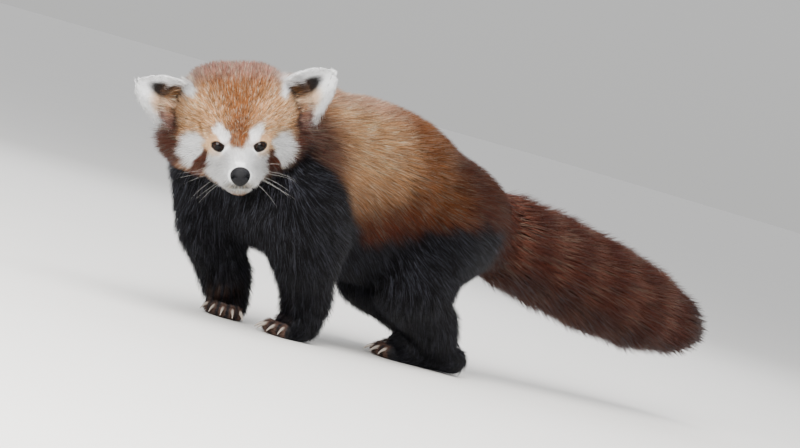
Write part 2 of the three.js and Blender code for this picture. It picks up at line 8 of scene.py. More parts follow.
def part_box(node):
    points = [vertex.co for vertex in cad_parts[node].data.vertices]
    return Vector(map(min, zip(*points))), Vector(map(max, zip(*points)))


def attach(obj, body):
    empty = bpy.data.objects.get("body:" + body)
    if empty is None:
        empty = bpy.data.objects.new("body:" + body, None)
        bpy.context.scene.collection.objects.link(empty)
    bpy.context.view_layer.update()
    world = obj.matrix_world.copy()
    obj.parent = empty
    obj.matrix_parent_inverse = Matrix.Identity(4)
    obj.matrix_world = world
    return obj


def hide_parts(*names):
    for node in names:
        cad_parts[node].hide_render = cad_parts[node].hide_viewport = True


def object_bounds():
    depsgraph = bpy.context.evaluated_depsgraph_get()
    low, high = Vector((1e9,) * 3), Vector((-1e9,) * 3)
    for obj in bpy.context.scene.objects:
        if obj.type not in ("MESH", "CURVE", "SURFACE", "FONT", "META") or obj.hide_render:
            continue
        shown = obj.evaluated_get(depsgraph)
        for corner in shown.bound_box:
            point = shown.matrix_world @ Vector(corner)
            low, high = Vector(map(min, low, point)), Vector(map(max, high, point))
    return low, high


# A red panda standing with its head turned to its left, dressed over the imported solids.
# Sizes are in millimetres in the animal's own frame: +X its left, +Y back to the tail, +Z up.
# `placed` takes them to the frame's metres. Arrays of points have one row a point.

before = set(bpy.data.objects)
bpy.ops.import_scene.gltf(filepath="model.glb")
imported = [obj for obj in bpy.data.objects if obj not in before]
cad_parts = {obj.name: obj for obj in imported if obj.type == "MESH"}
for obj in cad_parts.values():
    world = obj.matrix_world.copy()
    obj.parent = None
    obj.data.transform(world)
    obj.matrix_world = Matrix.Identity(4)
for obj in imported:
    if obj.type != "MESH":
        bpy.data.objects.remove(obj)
cad_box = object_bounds()

SEED = 5
FAR = 400.0  # stands for any distance too large to matter
STEP = 3.0  # spacing of the grid that the skin is drawn from

# Driving sizes, as the solids have them
HEAD_AT = np.array([31.0, -125.0, 206.4])
HEAD_TURN = (57.0, 10.0, -16.2)  # degrees: turned left, nose down, tipped to the right
EYE = np.array([22.0, -43.0, -9.5])
EYE_RADIUS = 8.2
NOSE = np.array([0.0, -75.0, -34.0])
EAR_BASE = np.array([57.0, 4.0, 26.0])
EAR_TIP = np.array([102.0, 14.0, 54.0])
EAR_LIFT = {1: 5.0, -1: -5.0}
EAR_ACROSS = np.array([-37.0, 0.0, 30.0])
EAR_HALF, EAR_CUP, EAR_RIM = 26.0, 12.0, 4.2
EAR_FOOT = 0.35  # how far an ear's leaf runs on below its base, as a share of its length
EAR_ROUND = 2  # rounding of an ear's edge
SIDES = {1: "left", -1: "right"}

NECK = [((20, -96, 201), 52), ((0, -26, 199), 73)]
TAIL = [
    ((0, 255, 168), 54),
    ((0, 330, 162), 55),
    ((0, 410, 150), 58),
    ((2, 490, 137), 59),
    ((6, 570, 124), 54),
    ((12, 632, 115), 40),
    ((15, 660, 112), 24),
]
TRUNK = [
    ((0, -14, 181), (84, 87, 96)),
    ((0, 70, 176), (84, 100, 100)),
    ((0, 140, 171), (82, 95, 99)),
    ((0, 222, 164), (78, 82, 77)),
]
HAUNCHES = [
    (((-62, -58, 152), 53), ((-57, -49, 112), 44)),
    (((56, -36, 148), 50), ((53, -5, 112), 42)),
    (((46, 188, 148), 56), ((53, 166, 112), 47)),
    (((-46, 214, 148), 56), ((-53, 198, 112), 47)),
]
LEGS = {
    "foreleg_right": {
        "joints": [((-56, -54, 128), 34), ((-54, -43, 86), 36), ((-48, -16, 46), 30), ((-47, -6, 36), 25)],
        "paw": (-47, -2),
        "yaw": 45,
        "heel": 6,
    },
    "foreleg_left": {
        "joints": [((55, -26, 128), 34), ((52, 4, 86), 35), ((46, 26, 46), 29), ((45, 30, 36), 25)],
        "paw": (44, 25),
        "yaw": -10,
        "heel": 6,
    },
    "hindleg_right": {
        "joints": [((-46, 218, 126), 40), ((-54, 200, 84), 43), ((-52, 276, 50), 28), ((-50, 292, 36), 22)],
        "paw": (-42, 276),
        "yaw": 16,
        "heel": 54,
    },
    "hindleg_left": {
        "joints": [((46, 190, 126), 40), ((54, 168, 84), 42), ((52, 214, 50), 30), ((54, 228, 36), 23)],
        "paw": (30, 206),
        "yaw": -30,
        "heel": 54,
    },
}
TOE_ANGLES = (-34, -17, 0, 17, 34)
TOE_RADIUS = 8.0
TOE_REACH, TOE_STEP = 33, 2.5  # the middle toe's length, and how much shorter each next one is


# Points and directions
def unit(v):
    return v / np.maximum(np.linalg.norm(v, axis=-1, keepdims=True), 1e-9)


def ease(t):
    s = np.clip(t, 0, 1)
    return s * s * (3 - 2 * s)


def mix(a, b, t):
    return a * (1 - t) + b * t


def turn(yaw=0.0, pitch=0.0, roll=0.0):
    turns = zip((yaw, pitch, roll), "ZXY")
    z, x, y = (Matrix.Rotation(math.radians(angle), 3, axis) for angle, axis in turns)
    return np.array(z @ x @ y)


HEAD = turn(*HEAD_TURN)


def to_head(p):
    return (p - HEAD_AT) @ HEAD


def from_head(q):
    return np.asarray(q, float) @ HEAD.T + HEAD_AT


# The frame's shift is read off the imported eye.
low, high = (np.array(corner) * 1000 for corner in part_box("eye_left"))
SHIFT = (low + high) / 2 - from_head(EYE)


def placed(p):
    return (np.asarray(p, float) + SHIFT) / 1000


# Signed distances, negative inside
def cone(a, b):
    (pa, ra), (pb, rb) = a, b
    pa, ab = np.array(pa, float), np.subtract(pb, pa).astype(float)

    def distance(p):
        t = np.clip((p - pa) @ ab / (ab @ ab), 0, 1)
        return np.linalg.norm(p - pa - t[:, None] * ab, axis=1) - (ra + (rb - ra) * t)

    return distance


def ellipsoid(centre, radii):
    centre, radii = np.array(centre, float), np.array(radii, float)

    def distance(p):
        q = (p - centre) / radii
        k0 = np.linalg.norm(q, axis=1)
        return k0 * (k0 - 1) / np.maximum(np.linalg.norm(q / radii, axis=1), 1e-9)

    return distance


def joined(d, e, softness):
    h = np.maximum(softness - abs(d - e), 0) / softness
    return np.minimum(d, e) - h * h * softness / 4


def carved(d, e, softness):
    """What is left of the first when the second is taken out."""
    return -joined(-d, e, softness)


def blend(parts, softness):
    def distance(p):
        d = np.full(len(p), FAR)
        for part in parts:
            d = joined(d, part(p), softness)
        return d

    return distance


def chain(joints, softness):
    return blend([cone(a, b) for a, b in zip(joints, joints[1:])], softness)


def near(field, centre, reach):
    """The same field, worked out only within reach of a centre."""
    centre = np.array(centre, float)

    def distance(p):
        d = np.full(len(p), FAR)
        close = np.linalg.norm(p - centre, axis=1) < reach
        if close.any():
            d[close] = field(p[close])
        return d

    return distance


def in_frame(field, matrix, at):
    return lambda p: field((p - at) @ matrix)


def slope(field, p, step=0.6):
    shifts = np.eye(3) * step
    return unit(np.stack([field(p + s) - field(p - s) for s in shifts], axis=1))


# Masses of the head, in its own frame
head_masses = blend(
    [ellipsoid((s * 17, 7, 14), (50, 57, 54)) for s in SIDES]
    + [ellipsoid((s * 42, 12, -17), (38, 43, 33)) for s in SIDES]
    + [
        cone(((0, -26, -24), 31), ((0, -61, -36), 17.5)),
        cone(((0, -8, -38), 26), ((0, -55, -46), 13)),
    ],
    13,
)


def ear_axes(s):
    axis = EAR_TIP - EAR_BASE + np.array([0, 0, EAR_LIFT[s]])
    side = unit(EAR_ACROSS)
    return axis, side, unit(np.cross(side, unit(axis)))


def ear_place(q, s):
    """Place on the ear's leaf: u from base to tip, v from edge to edge, and depth behind its hollow face."""
    axis, side, back = ear_axes(s)
    p = q * np.array([s, 1, 1]) - EAR_BASE
    u, w, behind = np.linalg.solve(np.stack([axis, side, back], axis=1), p.T)
    half = EAR_HALF * np.maximum(1 - np.maximum(u, 0) ** 2.2, 0.0) ** 0.58
    v = w / np.maximum(half, 2.0)
    hollow = EAR_CUP * (1 - np.clip(v, -1, 1) ** 2) * (1 - 0.55 * np.clip(u, 0, 1) ** 2) - EAR_CUP / 2
    return u, v, behind - hollow, half


def ear_field(s):
    axis = ear_axes(s)[0]
    length = np.linalg.norm(axis)

    def distance(q):
        u, v, depth, half = ear_place(q, s)
        thick = EAR_RIM / 2 + 1.5 * (1 - np.clip(u, 0, 1)) * (1 - np.clip(v, -1, 1) ** 2)
        beside = np.abs(v) * np.maximum(half, 2) - half
        beyond = np.maximum((u - 1) * length, (-EAR_FOOT - u) * length)
        over_edge = np.maximum(beside, beyond) + EAR_ROUND
        over_face = abs(depth) - thick + EAR_ROUND
        outside = np.linalg.norm(np.maximum([over_edge, over_face], 0), axis=0)
        return outside - EAR_ROUND + np.minimum(np.maximum(over_edge, over_face), 0)

    return distance


def toe_reach(i):
    return TOE_REACH - abs(i - 2) * TOE_STEP


def from_paw(leg, q):
    return turn(leg["yaw"]) @ np.array(q, float) + [*leg["paw"], 0]


def paw_field(leg):
    toes = []
    for i, angle in enumerate(TOE_ANGLES):
        a = math.radians(angle)
        toe = np.array([math.sin(a) * toe_reach(i), -math.cos(a) * toe_reach(i), TOE_RADIUS])
        toes.append(cone((toe * 0.35, 10), (toe, TOE_RADIUS)))
    masses = [ellipsoid((0, 0, 16), (23, 21, 20)), cone(((0, 0, 17), 19), ((0, leg["heel"], 17), 17.5))]
    field = blend(masses + toes, 7)
    return in_frame(field, turn(leg["yaw"]), np.array([*leg["paw"], 0.0]))


trunk_field = blend(
    [ellipsoid(*mass) for mass in TRUNK] + [cone(*mass) for mass in HAUNCHES],
    34,
)
FIELDS = {
    "head": near(in_frame(head_masses, HEAD, HEAD_AT), HEAD_AT, 190),
    "neck": near(chain(NECK, 8), (10, -60, 200), 190),
    "trunk": near(trunk_field, (0, 90, 165), 330),
    "tail": near(chain(TAIL, 5), (5, 460, 140), 330),
}
for s, side in SIDES.items():
    FIELDS[f"ear_{side}"] = near(in_frame(ear_field(s), HEAD, HEAD_AT), from_head(EAR_BASE * [s, 1, 1]), 110)
for name, leg in LEGS.items():
    FIELDS[name] = near(chain(leg["joints"], 7), leg["joints"][1][0], 150)
    FIELDS[f"{name}_paw"] = near(paw_field(leg), (*leg["paw"], 15), 120)
PARTS = list(FIELDS)
KINDS = ("head", "neck", "trunk", "tail", "ear", "leg", "paw")


def kind_of(part):
    for kind in ("ear", "paw"):
        if kind in part:
            return kind
    return "leg" if part in LEGS else part


# How deep the skin lies under the coat's outer surface, and how softly a part runs into the others
SKIN_DEPTH = {"head": 3.2, "neck": 11, "trunk": 11, "tail": 18, "ear": 0.35, "leg": 8, "paw": 2}
JOIN = {"head": 16, "neck": 20, "trunk": 20, "tail": 24, "ear": 11, "leg": 18, "paw": 10}


def cheek_share(q):
    return ease((abs(q[:, 0]) - 30) / 25) * ease((q[:, 1] + 30) / 30)


def coat_depth(part, p):
    kind = kind_of(part)
    depth = np.full(len(p), float(SKIN_DEPTH[kind]))
    if kind == "head":
        q = to_head(p)
        depth += 4.5 * ease((q[:, 1] + 40) / 40) * ease((q[:, 2] + 10) / 40)
        depth += 6.5 * cheek_share(q) - 1.6 * ease((-44 - q[:, 1]) / 16)
        depth = mix(0.9, depth, ease((eye_distance(p) - 9) / 13))
    return depth


EYES = {s: from_head(EYE * [s, 1, 1]) for s in SIDES}
LID = {"width": 6.0, "height": 4.5, "tilt": 0.24, "thick": 1.3, "flare": 0.05}


def eye_distance(p):
    return np.minimum(*[np.linalg.norm(p - at, axis=1) for at in EYES.values()])


def opening(p, s):
    """Distance to the almond between an eye's lids, negative inside it, seen along the head."""
    d = to_head(p) * [s, 1, 1] - EYE
    z = d[:, 2] - LID["tilt"] * d[:, 0]
    flare = 1 + LID["flare"] * np.maximum(np.linalg.norm(d, axis=1) - EYE_RADIUS - LID["thick"], 0)
    return (np.hypot(d[:, 0] / LID["width"], z / LID["height"]) - flare) * LID["height"]


def lids(p, s):
    """The lids as a swelling over the eyeball, and what is cut from it so that the eyeball looks out."""
    r = np.linalg.norm(p - EYES[s], axis=1)
    swelling = r - EYE_RADIUS - LID["thick"]
    window = carved(opening(p, s), r - EYE_RADIUS + 0.25, 0.5)
    ahead = (to_head(p)[:, 1] < EYE[1]) & (r < 20)
    return swelling, np.where(ahead, window, FAR)


def mouth_points(count=12):
    """The line where the lips meet, from corner to corner, in the head's frame and on the skin."""
    t = np.linspace(-1, 1, count + 1)
    x = 22 * np.sin(t * np.pi / 2)
    y = -72 + 34 * (1 - np.cos(t * np.pi / 2))
    z = -46 + t * t - 2.5 * np.sin(np.pi * abs(t))
    q = np.stack([x, y, z], axis=1)
    for _ in range(4):
        q = q - slope(head_masses, q) * (head_masses(q) + 2)[:, None]
    return q


def line_field(points, radius):
    return blend([cone((a, radius), (b, radius)) for a, b in zip(points, points[1:])], 0.5)


MOUTH = near(in_frame(line_field(mouth_points(), 0.9), HEAD, HEAD_AT), from_head([0, -60, -46]), 60)


def outer(p):
    """The outer surface of the coat."""
    d = np.full(len(p), FAR)
    for part in PARTS:
        d = joined(d, FIELDS[part](p), JOIN[kind_of(part)])
    return d


def skin(p):
    """The skin under the coat, with lids and the line of the mouth."""
    d = np.full(len(p), FAR)
    for part in PARTS:
        d = joined(d, FIELDS[part](p) + coat_depth(part, p), JOIN[kind_of(part)])
    for s in SIDES:
        swelling, window = lids(p, s)
        d = carved(joined(d, swelling, 2.5), window, 0.7)
    return np.maximum(d, -MOUTH(p))


def settle(p, field, times=3):
    """Points moved along the field's slope onto its surface."""
    for _ in range(times):
        p = p - slope(field, p) * field(p)[:, None]
    return p


# A closed net of squares where a grid of signed distances changes sign
def surface_net(field, low, high, step):
    counts = np.ceil((np.subtract(high, low)) / step).astype(int) + 1
    grid = np.stack(np.meshgrid(*[np.arange(n) for n in counts], indexing="ij"), axis=-1)
    value = field(grid.reshape(-1, 3) * step + low).reshape(counts)
    total = np.zeros((*counts, 3))
    count = np.zeros(counts)
    squares = []
    for axis in range(3):
        first, second = value, np.roll(value, -1, axis)
        cut = (first < 0) != (second < 0)
        cut[tuple(-1 if a == axis else slice(None) for a in range(3))] = False
        cells = np.argwhere(cut)
        a, b = first[cut], second[cut]
        crossing = cells.astype(float)
        crossing[:, axis] += a / (a - b)
        others = [(axis + 1) % 3, (axis + 2) % 3]
        corners = []
        for shift in ((0, 0), (-1, 0), (-1, -1), (0, -1)):
            corner = cells.copy()
            corner[:, others] += shift
            flat = np.ravel_multi_index(corner.T, counts)
            for k in range(3):
                total[..., k] += np.bincount(flat, crossing[:, k], total[..., k].size).reshape(counts)
            count += np.bincount(flat, minlength=count.size).reshape(counts)
            corners.append(flat)
        square = np.stack(corners, axis=1)
        square[a >= 0] = square[a >= 0][:, ::-1]
        squares.append(square)
    squares = np.concatenate(squares)
    used, index = np.unique(squares, return_inverse=True)
    points = (total.reshape(-1, 3)[used] / count.reshape(-1)[used][:, None]) * step + low
    return points, index.reshape(-1, 4)


def triangles_of(mesh):
    mesh.calc_loop_triangles()
    tris = np.zeros(len(mesh.loop_triangles) * 3, np.int32)
    mesh.loop_triangles.foreach_get("vertices", tris)
    points = np.zeros(len(mesh.vertices) * 3)
    mesh.vertices.foreach_get("co", points)
    return points.reshape(-1, 3), tris.reshape(-1, 3)


def refined(points, squares, zones):
    """The same net in triangles, with the squares of each zone in turn cut in four."""
    mesh = bpy.data.meshes.new("net")
    mesh.from_pydata(points.tolist(), [], squares.tolist())
    work = bmesh.new()
    work.from_mesh(mesh)
    bpy.data.meshes.remove(mesh)
    for zone in zones:
        marked = zone(np.array([v.co for v in work.verts]))
        edges = [e for e in work.edges if marked[e.verts[0].index] and marked[e.verts[1].index]]
        bmesh.ops.subdivide_edges(work, edges=edges, cuts=1, use_grid_fill=True)
        work.verts.index_update()
    bmesh.ops.triangulate(work, faces=work.faces[:])
    done = bpy.data.meshes.new("net")
    work.to_mesh(done)
    work.free()
    found = triangles_of(done)
    bpy.data.meshes.remove(done)
    return found


def face_zone(p):
    q = to_head(p)
    face = (q[:, 1] < -4) & (np.linalg.norm(q, axis=1) < 96)
    return face | (abs(q[:, 0]) > 66) & (q[:, 1] < 40) & (q[:, 2] > 4)


def fine_zone(p):
    return (eye_distance(p) < 14) | (MOUTH(p) < 5)


def lid_zone(p):
    return eye_distance(p) < 12


# Meshes, their colours and maps
def mesh_piece(name, points, triangles, colour, uv=None):
    mesh = bpy.data.meshes.new(name)
    mesh.vertices.add(len(points))
    mesh.vertices.foreach_set("co", placed(points).ravel())
    mesh.loops.add(3 * len(triangles))
    mesh.loops.foreach_set("vertex_index", triangles.ravel().astype(np.int32))
    mesh.polygons.add(len(triangles))
    mesh.polygons.foreach_set("loop_start", np.arange(len(triangles), dtype=np.int32) * 3)
    mesh.polygons.foreach_set("use_smooth", np.full(len(triangles), True))
    mesh.update(calc_edges=True)
    rgba = np.ones((len(points), 4), np.float32)
    rgba[:, :3] = colour
    mesh.color_attributes.new("markings_with_painted_light", "FLOAT_COLOR", "POINT").data.foreach_set("color", rgba.ravel())
    if uv is not None:
        corners = uv[triangles.ravel()].astype(np.float32)
        mesh.uv_layers.new(name="OFBake").uv.foreach_set("vector", corners.ravel())
    piece = bpy.data.objects.new(name, mesh)
    bpy.context.scene.collection.objects.link(piece)
    return piece


def dress(piece, material, slot, *nodes):
    piece.data.materials.clear()
    piece.data.materials.append(material)
    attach(piece, "root")
    if nodes:
        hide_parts(*nodes)


# Colours of the coat, as screen colours
def tint(text):
    srgb = np.array([int(text[i : i + 2], 16) / 255 for i in (1, 3, 5)])
    return np.where(srgb <= 0.04045, srgb / 12.92, ((srgb + 0.055) / 1.055) ** 2.4)


TINT = {
    "tan": tint("#84522c"),
    "buff": tint("#bf9266"),
    "stripe": tint("#85502d"),
    # crown: the crown's own brown, made lighter and pinker as painted sheen of the light from above
    "crown": tint("#8a6156"),
    "white": tint("#fefeff"),
    "cream": tint("#d6ae84"),
    # painted shade: a grey laid on the white chin, under the mouth
    "shade_under_mouth": tint("#8b8b82"),
    "tear": tint("#5a2a19"),
    "fringe": tint("#55291a"),
    # back: the upper back's own tan, made lighter as painted sheen of the light from above
    "back": tint("#cb9c70"),
    # top: painted sheen, a pinkish lightening of the top of the back where the light from above falls
    "top": tint("#b18a78"),
    "rust": tint("#51200a"),
    "flank": tint("#834e28"),
    "shoulder": tint("#5c3c34"),
    "maroon": tint("#4b2318"),
    # black: the coat's own black, given a slight bluish cast as painted sheen
    "black": tint("#0c0b10"),
    "tail": tint("#4a2115"),
    "ring": tint("#734a3c"),
    "tail_tip": tint("#231009"),
    "toe": tint("#5e453b"),
    # hollow: painted shade, a near-black laid deep in the ears' hollows
    "hollow": tint("#15110f"),
    # rim: the lids' own black, also laid along the mouth as the lips' dark line and painted shade in its
    # crease
    "dark_rim_and_mouth_shade": tint("#080605"),
}


def paint(colour, name, share):
    return mix(colour, TINT[name], np.clip(share, 0, 1)[:, None])


def spot(q, centre, radii, edge=0.35):
    """1 inside a soft oval of the plane that q lies in, 0 outside."""
    d = np.linalg.norm((q - centre) / radii, axis=1)
    return 1 - ease((d - 1 + edge) / (2 * edge))


def waves(p, scale, seed):
    """A smooth, repeatable unevenness between about -1 and 1, with bumps about `scale` apart."""
    draw = np.random.default_rng(seed)
    total = np.zeros(len(p))
    for _ in range(7):
        direction = unit(draw.normal(size=3)) * draw.uniform(0.7, 1.4) * 2 * np.pi / scale
        total += np.sin(p @ direction + draw.uniform(0, 2 * np.pi))
    return total / 3.2


def weights(p):
    """How much each part's own colours, painted light and shade included, and lie of coat count at each
    point.
    """
    distance = np.stack([FIELDS[part](p) for part in PARTS])
    share = np.exp(-(distance - distance.min(axis=0)) / 5.0)
    return share / share.sum(axis=0)


def head_colour(p):
    q = to_head(p)
    x, y, z = abs(q[:, 0]) + 1.5 * waves(p, 13, 21), q[:, 1], q[:, 2] + 1.5 * waves(p, 11, 22)
    face = np.stack([x, z], axis=1)
    c = np.tile(TINT["tan"], (len(p), 1))
    c = paint(c, "buff", 0.9 * spot(face, (46, 18), (28, 30), 0.6) * ease((20 - y) / 25))
    # painted sheen: the crown's brown, lightened and pinker, laid over the top of the head where the light
    # from above falls
    c = paint(c, "crown", 0.85 * ease((z - 46 + 0.25 * y) / 20))
    c = paint(c, "stripe", 0.8 * spot(face, (0, 2), (9, 24), 0.5))
    c = paint(c, "fringe", ease((x - 61) / 8) * ease((32 - z) / 24))
    c = paint(c, "fringe", ease((y - 6) / 14) * ease((36 - z) / 18))
    c = paint(c, "white", 0.9 * spot(face, (55, 45), (9, 6), 0.4) * ease((14 - y) / 8))
    c = paint(c, "white", spot(face, (50, -20), (15.5, 22), 0.25) * ease((10 - y) / 10))
    brow = np.stack([(x - 18) * 0.56 + (z - 4) * 0.83, (x - 18) * 0.83 - (z - 4) * 0.56], axis=1)
    c = paint(c, "cream", 0.5 * spot(face, (29, 0), (10, 7), 0.5))
    c = paint(c, "white", 0.85 * spot(brow, (0, 0), (13.5, 6.2), 0.4))
    c = paint(c, "cream", spot(face, (29, -13), (12, 9), 0.4))
    jaw = (abs(x / 37) ** 2.6 + abs((z + 33) / 24) ** 2.6) ** (1 / 2.6)
    c = paint(c, "white", (1 - ease((jaw - 0.88) / 0.24)) * ease((4 - y) / 8))
    c = paint(c, "cream", 0.7 * spot(face, (29, -18), (9, 6), 0.5))
    tear = abs(x - (35.5 + 0.26 * (-z - 14))) - mix(2.8, 7.5, ease((-z - 14) / 26))
    c = paint(c, "tear", (1 - ease((tear + 1.5) / 3)) * ease((-z - 10) / 11))
    c = paint(c, "black", ease((-z - 53) / 7) * ease((y + 46) / 14))
    for s in SIDES:
        c = paint(c, "dark_rim_and_mouth_shade", (1 - ease((opening(p, s) - 0.9) / 0.8)) * ease((10.2 - eye_distance(p)) / 0.5))
    # painted shade: grey over the white chin, under the mouth
    c = paint(c, "shade_under_mouth", 0.8 * spot(face, (0, -50), (18, 6.5), 0.5) * ease((-46 - y) / 8))
    # the lips' dark line, with painted shade in the mouth's crease
    return paint(c, "dark_rim_and_mouth_shade", 0.7 * (1 - ease((MOUTH(p) - 0.6) / 2.6)) * ease((17 - x) / 8))


def ear_colour(p):
    q = to_head(p)
    c = np.tile(TINT["white"], (len(p), 1))
    for s in SIDES:
        here = q[:, 0] * s > 0
        u, v, depth, _ = ear_place(q, s)
        leaf = np.stack([u, v], axis=1)
        front = ease((0.5 - depth) / 2)
        cream = spot(leaf, (0.2, -0.35), (0.34, 0.45), 0.5) * front
        # painted shade: where the near-black goes, deep in the ear's hollow
        hollow = spot(leaf, (0.45, 0.1), (0.3, 0.4), 0.4) * front
        behind = (1 - front) * ease((0.7 - u) / 0.3) * ease((0.85 - abs(v)) / 0.3)
        c[here] = paint(c, "cream", 0.85 * cream)[here]
        c[here] = paint(c, "hollow", hollow)[here]
        c[here] = paint(c, "maroon", behind)[here]
        c[here] = paint(c, "fringe", 0.9 * ease((0.26 - u) / 0.14) * ease((0.2 - v) / 0.3) * front)[here]
    return c


# Height of the black underside's upper edge along the body
BORDER = [(-120, -70, -42, 9, 28, 70, 134, 175, 215, 250), (240, 226, 202, 168, 144, 122, 142, 164, 176, 166)]


def body_colour(p):
    y, z = p[:, 1], p[:, 2]
    wander = 5 * waves(p, 60, 31) + 2.5 * waves(p, 18, 32)
    c = np.tile(TINT["rust"], (len(p), 1))
    top = np.stack([y, z], axis=1)
    c = paint(c, "flank", ease((z - 140) / 75))
    # the upper back's own tan, laid lighter over the top of the back as painted sheen of the light from above
    c = paint(c, "back", 0.95 * spot(top, (28, 246), (60, 78), 0.65))
    c = paint(c, "back", 0.45 * spot(top, (82, 222), (34, 40), 0.6))
    # painted sheen: a pinkish lightening over the top of the back, where the light from above falls
    c = paint(c, "top", 0.7 * ease((z - 252) / 22) * ease((150 - y) / 80))
    c = paint(c, "shoulder", 0.95 * spot(top, (-52, 205), (52, 52), 0.5))
    c = paint(c, "maroon", 0.9 * ease((y - 150) / 70))
    border = np.interp(y, BORDER[0], BORDER[1])
    return paint(c, "black", 1 - ease((z - border + wander + 11) / 22))


def tail_centre(y):
    """The middle of the tail at these places along the body."""
    along = [at[1] for at, _ in TAIL]
    return np.stack([np.interp(y, along, [at[k] for at, _ in TAIL]) for k in range(3)], axis=1)


def tail_colour(p):
    y, z = p[:, 1], p[:, 2]
    c = np.tile(TINT["tail"], (len(p), 1))
    ring = 0.5 + 0.5 * np.cos((y - 330 + 9 * waves(p, 40, 41)) * 2 * np.pi / 66)
    c = paint(c, "ring", 0.55 * ease((ring - 0.4) / 0.5) * ease((y - 300) / 60))
    c = paint(c, "ring", 0.35 * ease((z - 185) / 30) * ease((330 - y) / 60))
    c = paint(c, "tail_tip", 0.6 * ease((tail_centre(y)[:, 2] - 10 - z) / 34))
    return paint(c, "tail_tip", 0.85 * ease((y - 630) / 30))


def leg_colour(p):
    return np.tile(TINT["black"], (len(p), 1))


def paw_colour(p):
    c = np.tile(TINT["black"], (len(p), 1))
    for leg in LEGS.values():
        q = (p - [*leg["paw"], 0]) @ turn(leg["yaw"])
        reach = np.hypot(q[:, 0], q[:, 1])
        bearing = np.degrees(np.arctan2(q[:, 0], -q[:, 1]))
        between = abs((bearing + 8.5) % 17 - 8.5) / 8.5
        on_toe = ease((reach - 24) / 9) * ease((48 - abs(bearing)) / 8) * (reach < 60)
        c = paint(c, "toe", 0.9 * on_toe * (1 - ease((between - 0.45) / 0.4)))
    return c


COLOUR = {
    "head": head_colour,
    "neck": body_colour,
    "trunk": body_colour,
    "tail": tail_colour,
    "ear": ear_colour,
    "leg": leg_colour,
    "paw": paw_colour,
}


def by_kind(p, makers, share):
    """One value a point, mixed from what each kind of part would give it."""
    total = None
    for kind in KINDS:
        rows = [i for i, part in enumerate(PARTS) if kind_of(part) == kind]
        amount = share[rows].sum(axis=0)
        used = amount > 0.01
        if not used.any():
            continue
        value = np.asarray(makers[kind](p[used]), float)
        if total is None:
            total = np.zeros((len(p), *value.shape[1:]))
        total[used] += value * amount[used].reshape(-1, *[1] * (value.ndim - 1))
    return total


# the coat's marks, with painted sheen and painted shade among them, and a random unevenness of tone
def markings_with_painted_light(p, share):
    c = by_kind(p, COLOUR, share)
    return c * (1 + 0.10 * waves(p, 26, 51) + 0.07 * waves(p, 9, 52))[:, None]


# The lie of the coat: a direction at each point, before it is laid along the skin
def from_front(q):
    """Points of the head as its front view has them: distance from the middle, and height."""
    return np.stack([abs(q[:, 0]), q[:, 2]], axis=1)


def jowl_share(q):
    return spot(from_front(q), (27, -42), (14, 14), 0.5) * ease((12 - q[:, 1]) / 20)


def ruff_share(q):
    """1 on the shaggy fur of the head's sides, in front of the lower ear."""
    share = spot(from_front(q), (65, 12), (15, 28), 0.45)
    return share * ease((16 - q[:, 1]) / 12) * ease((q[:, 1] + 34) / 14)


def head_lie(p):
    q = to_head(p)
    away = unit(q - np.array([0, -72, -22]))
    away[:, 2] -= 0.55 * cheek_share(q) + 0.5 * jowl_share(q)
    away[:, 1] += 0.25 - 0.6 * ruff_share(q)
    for s in SIDES:
        out = q - EYE * [s, 1, 1]
        near_eye = ease((19 - np.linalg.norm(out, axis=1)) / 9)
        away += 1.6 * unit(out) * near_eye[:, None]
    return away @ HEAD.T


def ear_lie(p):
    q = to_head(p)
    out = np.zeros_like(q)
    for s in SIDES:
        here = q[:, 0] * s > 0
        axis, side, _ = ear_axes(s)
        u, v, _, _ = ear_place(q, s)
        lie = unit(axis)[None, :] + side[None, :] * (0.3 * v[:, None])
        lower = (ease((-v - 0.4) / 0.4) * ease((1.1 - u) / 0.6))[:, None]
        lie = mix(lie, -0.4 * side + np.array([0, 0.1, -1.0]), lower)
        out[here] = (lie * [s, 1, 1])[here]
    return out @ HEAD.T


def body_lie(p):
    x, y, z = p.T
    down = mix(0.75 * ease((255 - z) / 90), 2.4, ease((-55 - y) / 40))
    return np.stack([0 * x, 1 + 0 * y, -down], axis=1)


def tail_lie(p):
    out = unit((p - tail_centre(p[:, 1])) * [1, 0, 1])
    return np.array([0.02, 1, -0.2]) + 0.16 * out


def leg_lie(p):
    return np.tile([0.0, 0.32, -1.0], (len(p), 1))


def paw_lie(p):
    out = np.zeros_like(p)
    best = np.full(len(p), FAR)
    for leg in LEGS.values():
        ahead = turn(leg["yaw"]) @ np.array([0, -1.0, -0.35])
        distance = np.linalg.norm(p[:, :2] - leg["paw"], axis=1)
        hangs = ease((p[:, 2] - 14) / 14)[:, None]
        closer = distance < best
        out[closer] = mix(ahead, np.array([0, 0.3, -1.0]), hangs)[closer]
        best = np.minimum(distance, best)
    return out


LIE = {
    "head": head_lie,
    "neck": body_lie,
    "trunk": body_lie,
    "tail": tail_lie,
    "ear": ear_lie,
    "leg": leg_lie,
    "paw": paw_lie,
}


# Sizes of the tufts: length, width and how many a square mm
def head_sizes(p):
    q = to_head(p)
    muzzle = ease((-42 - q[:, 1]) / 14) * ease((12 - q[:, 2]) / 14)
    jowl = jowl_share(q)
    cheek = cheek_share(q)
    crown = ease((q[:, 1] + 40) / 45)
    length = mix(mix(9, 16, crown), 6.5, muzzle) + 12 * cheek
    length = mix(length, 14, jowl) + 3 * ruff_share(q)
    width = mix(mix(0.7, 0.9, crown), 0.55, muzzle) + 0.2 * cheek
    length *= mix(0.35, 1.0, ease((eye_distance(p) - 9) / 14))
    density = mix(0.9, mix(1.7, 1.6, crown), ease((24 - q[:, 1]) / 30)) + 1.2 * muzzle - 0.2 * cheek
    return np.stack([length, width, density], axis=1)


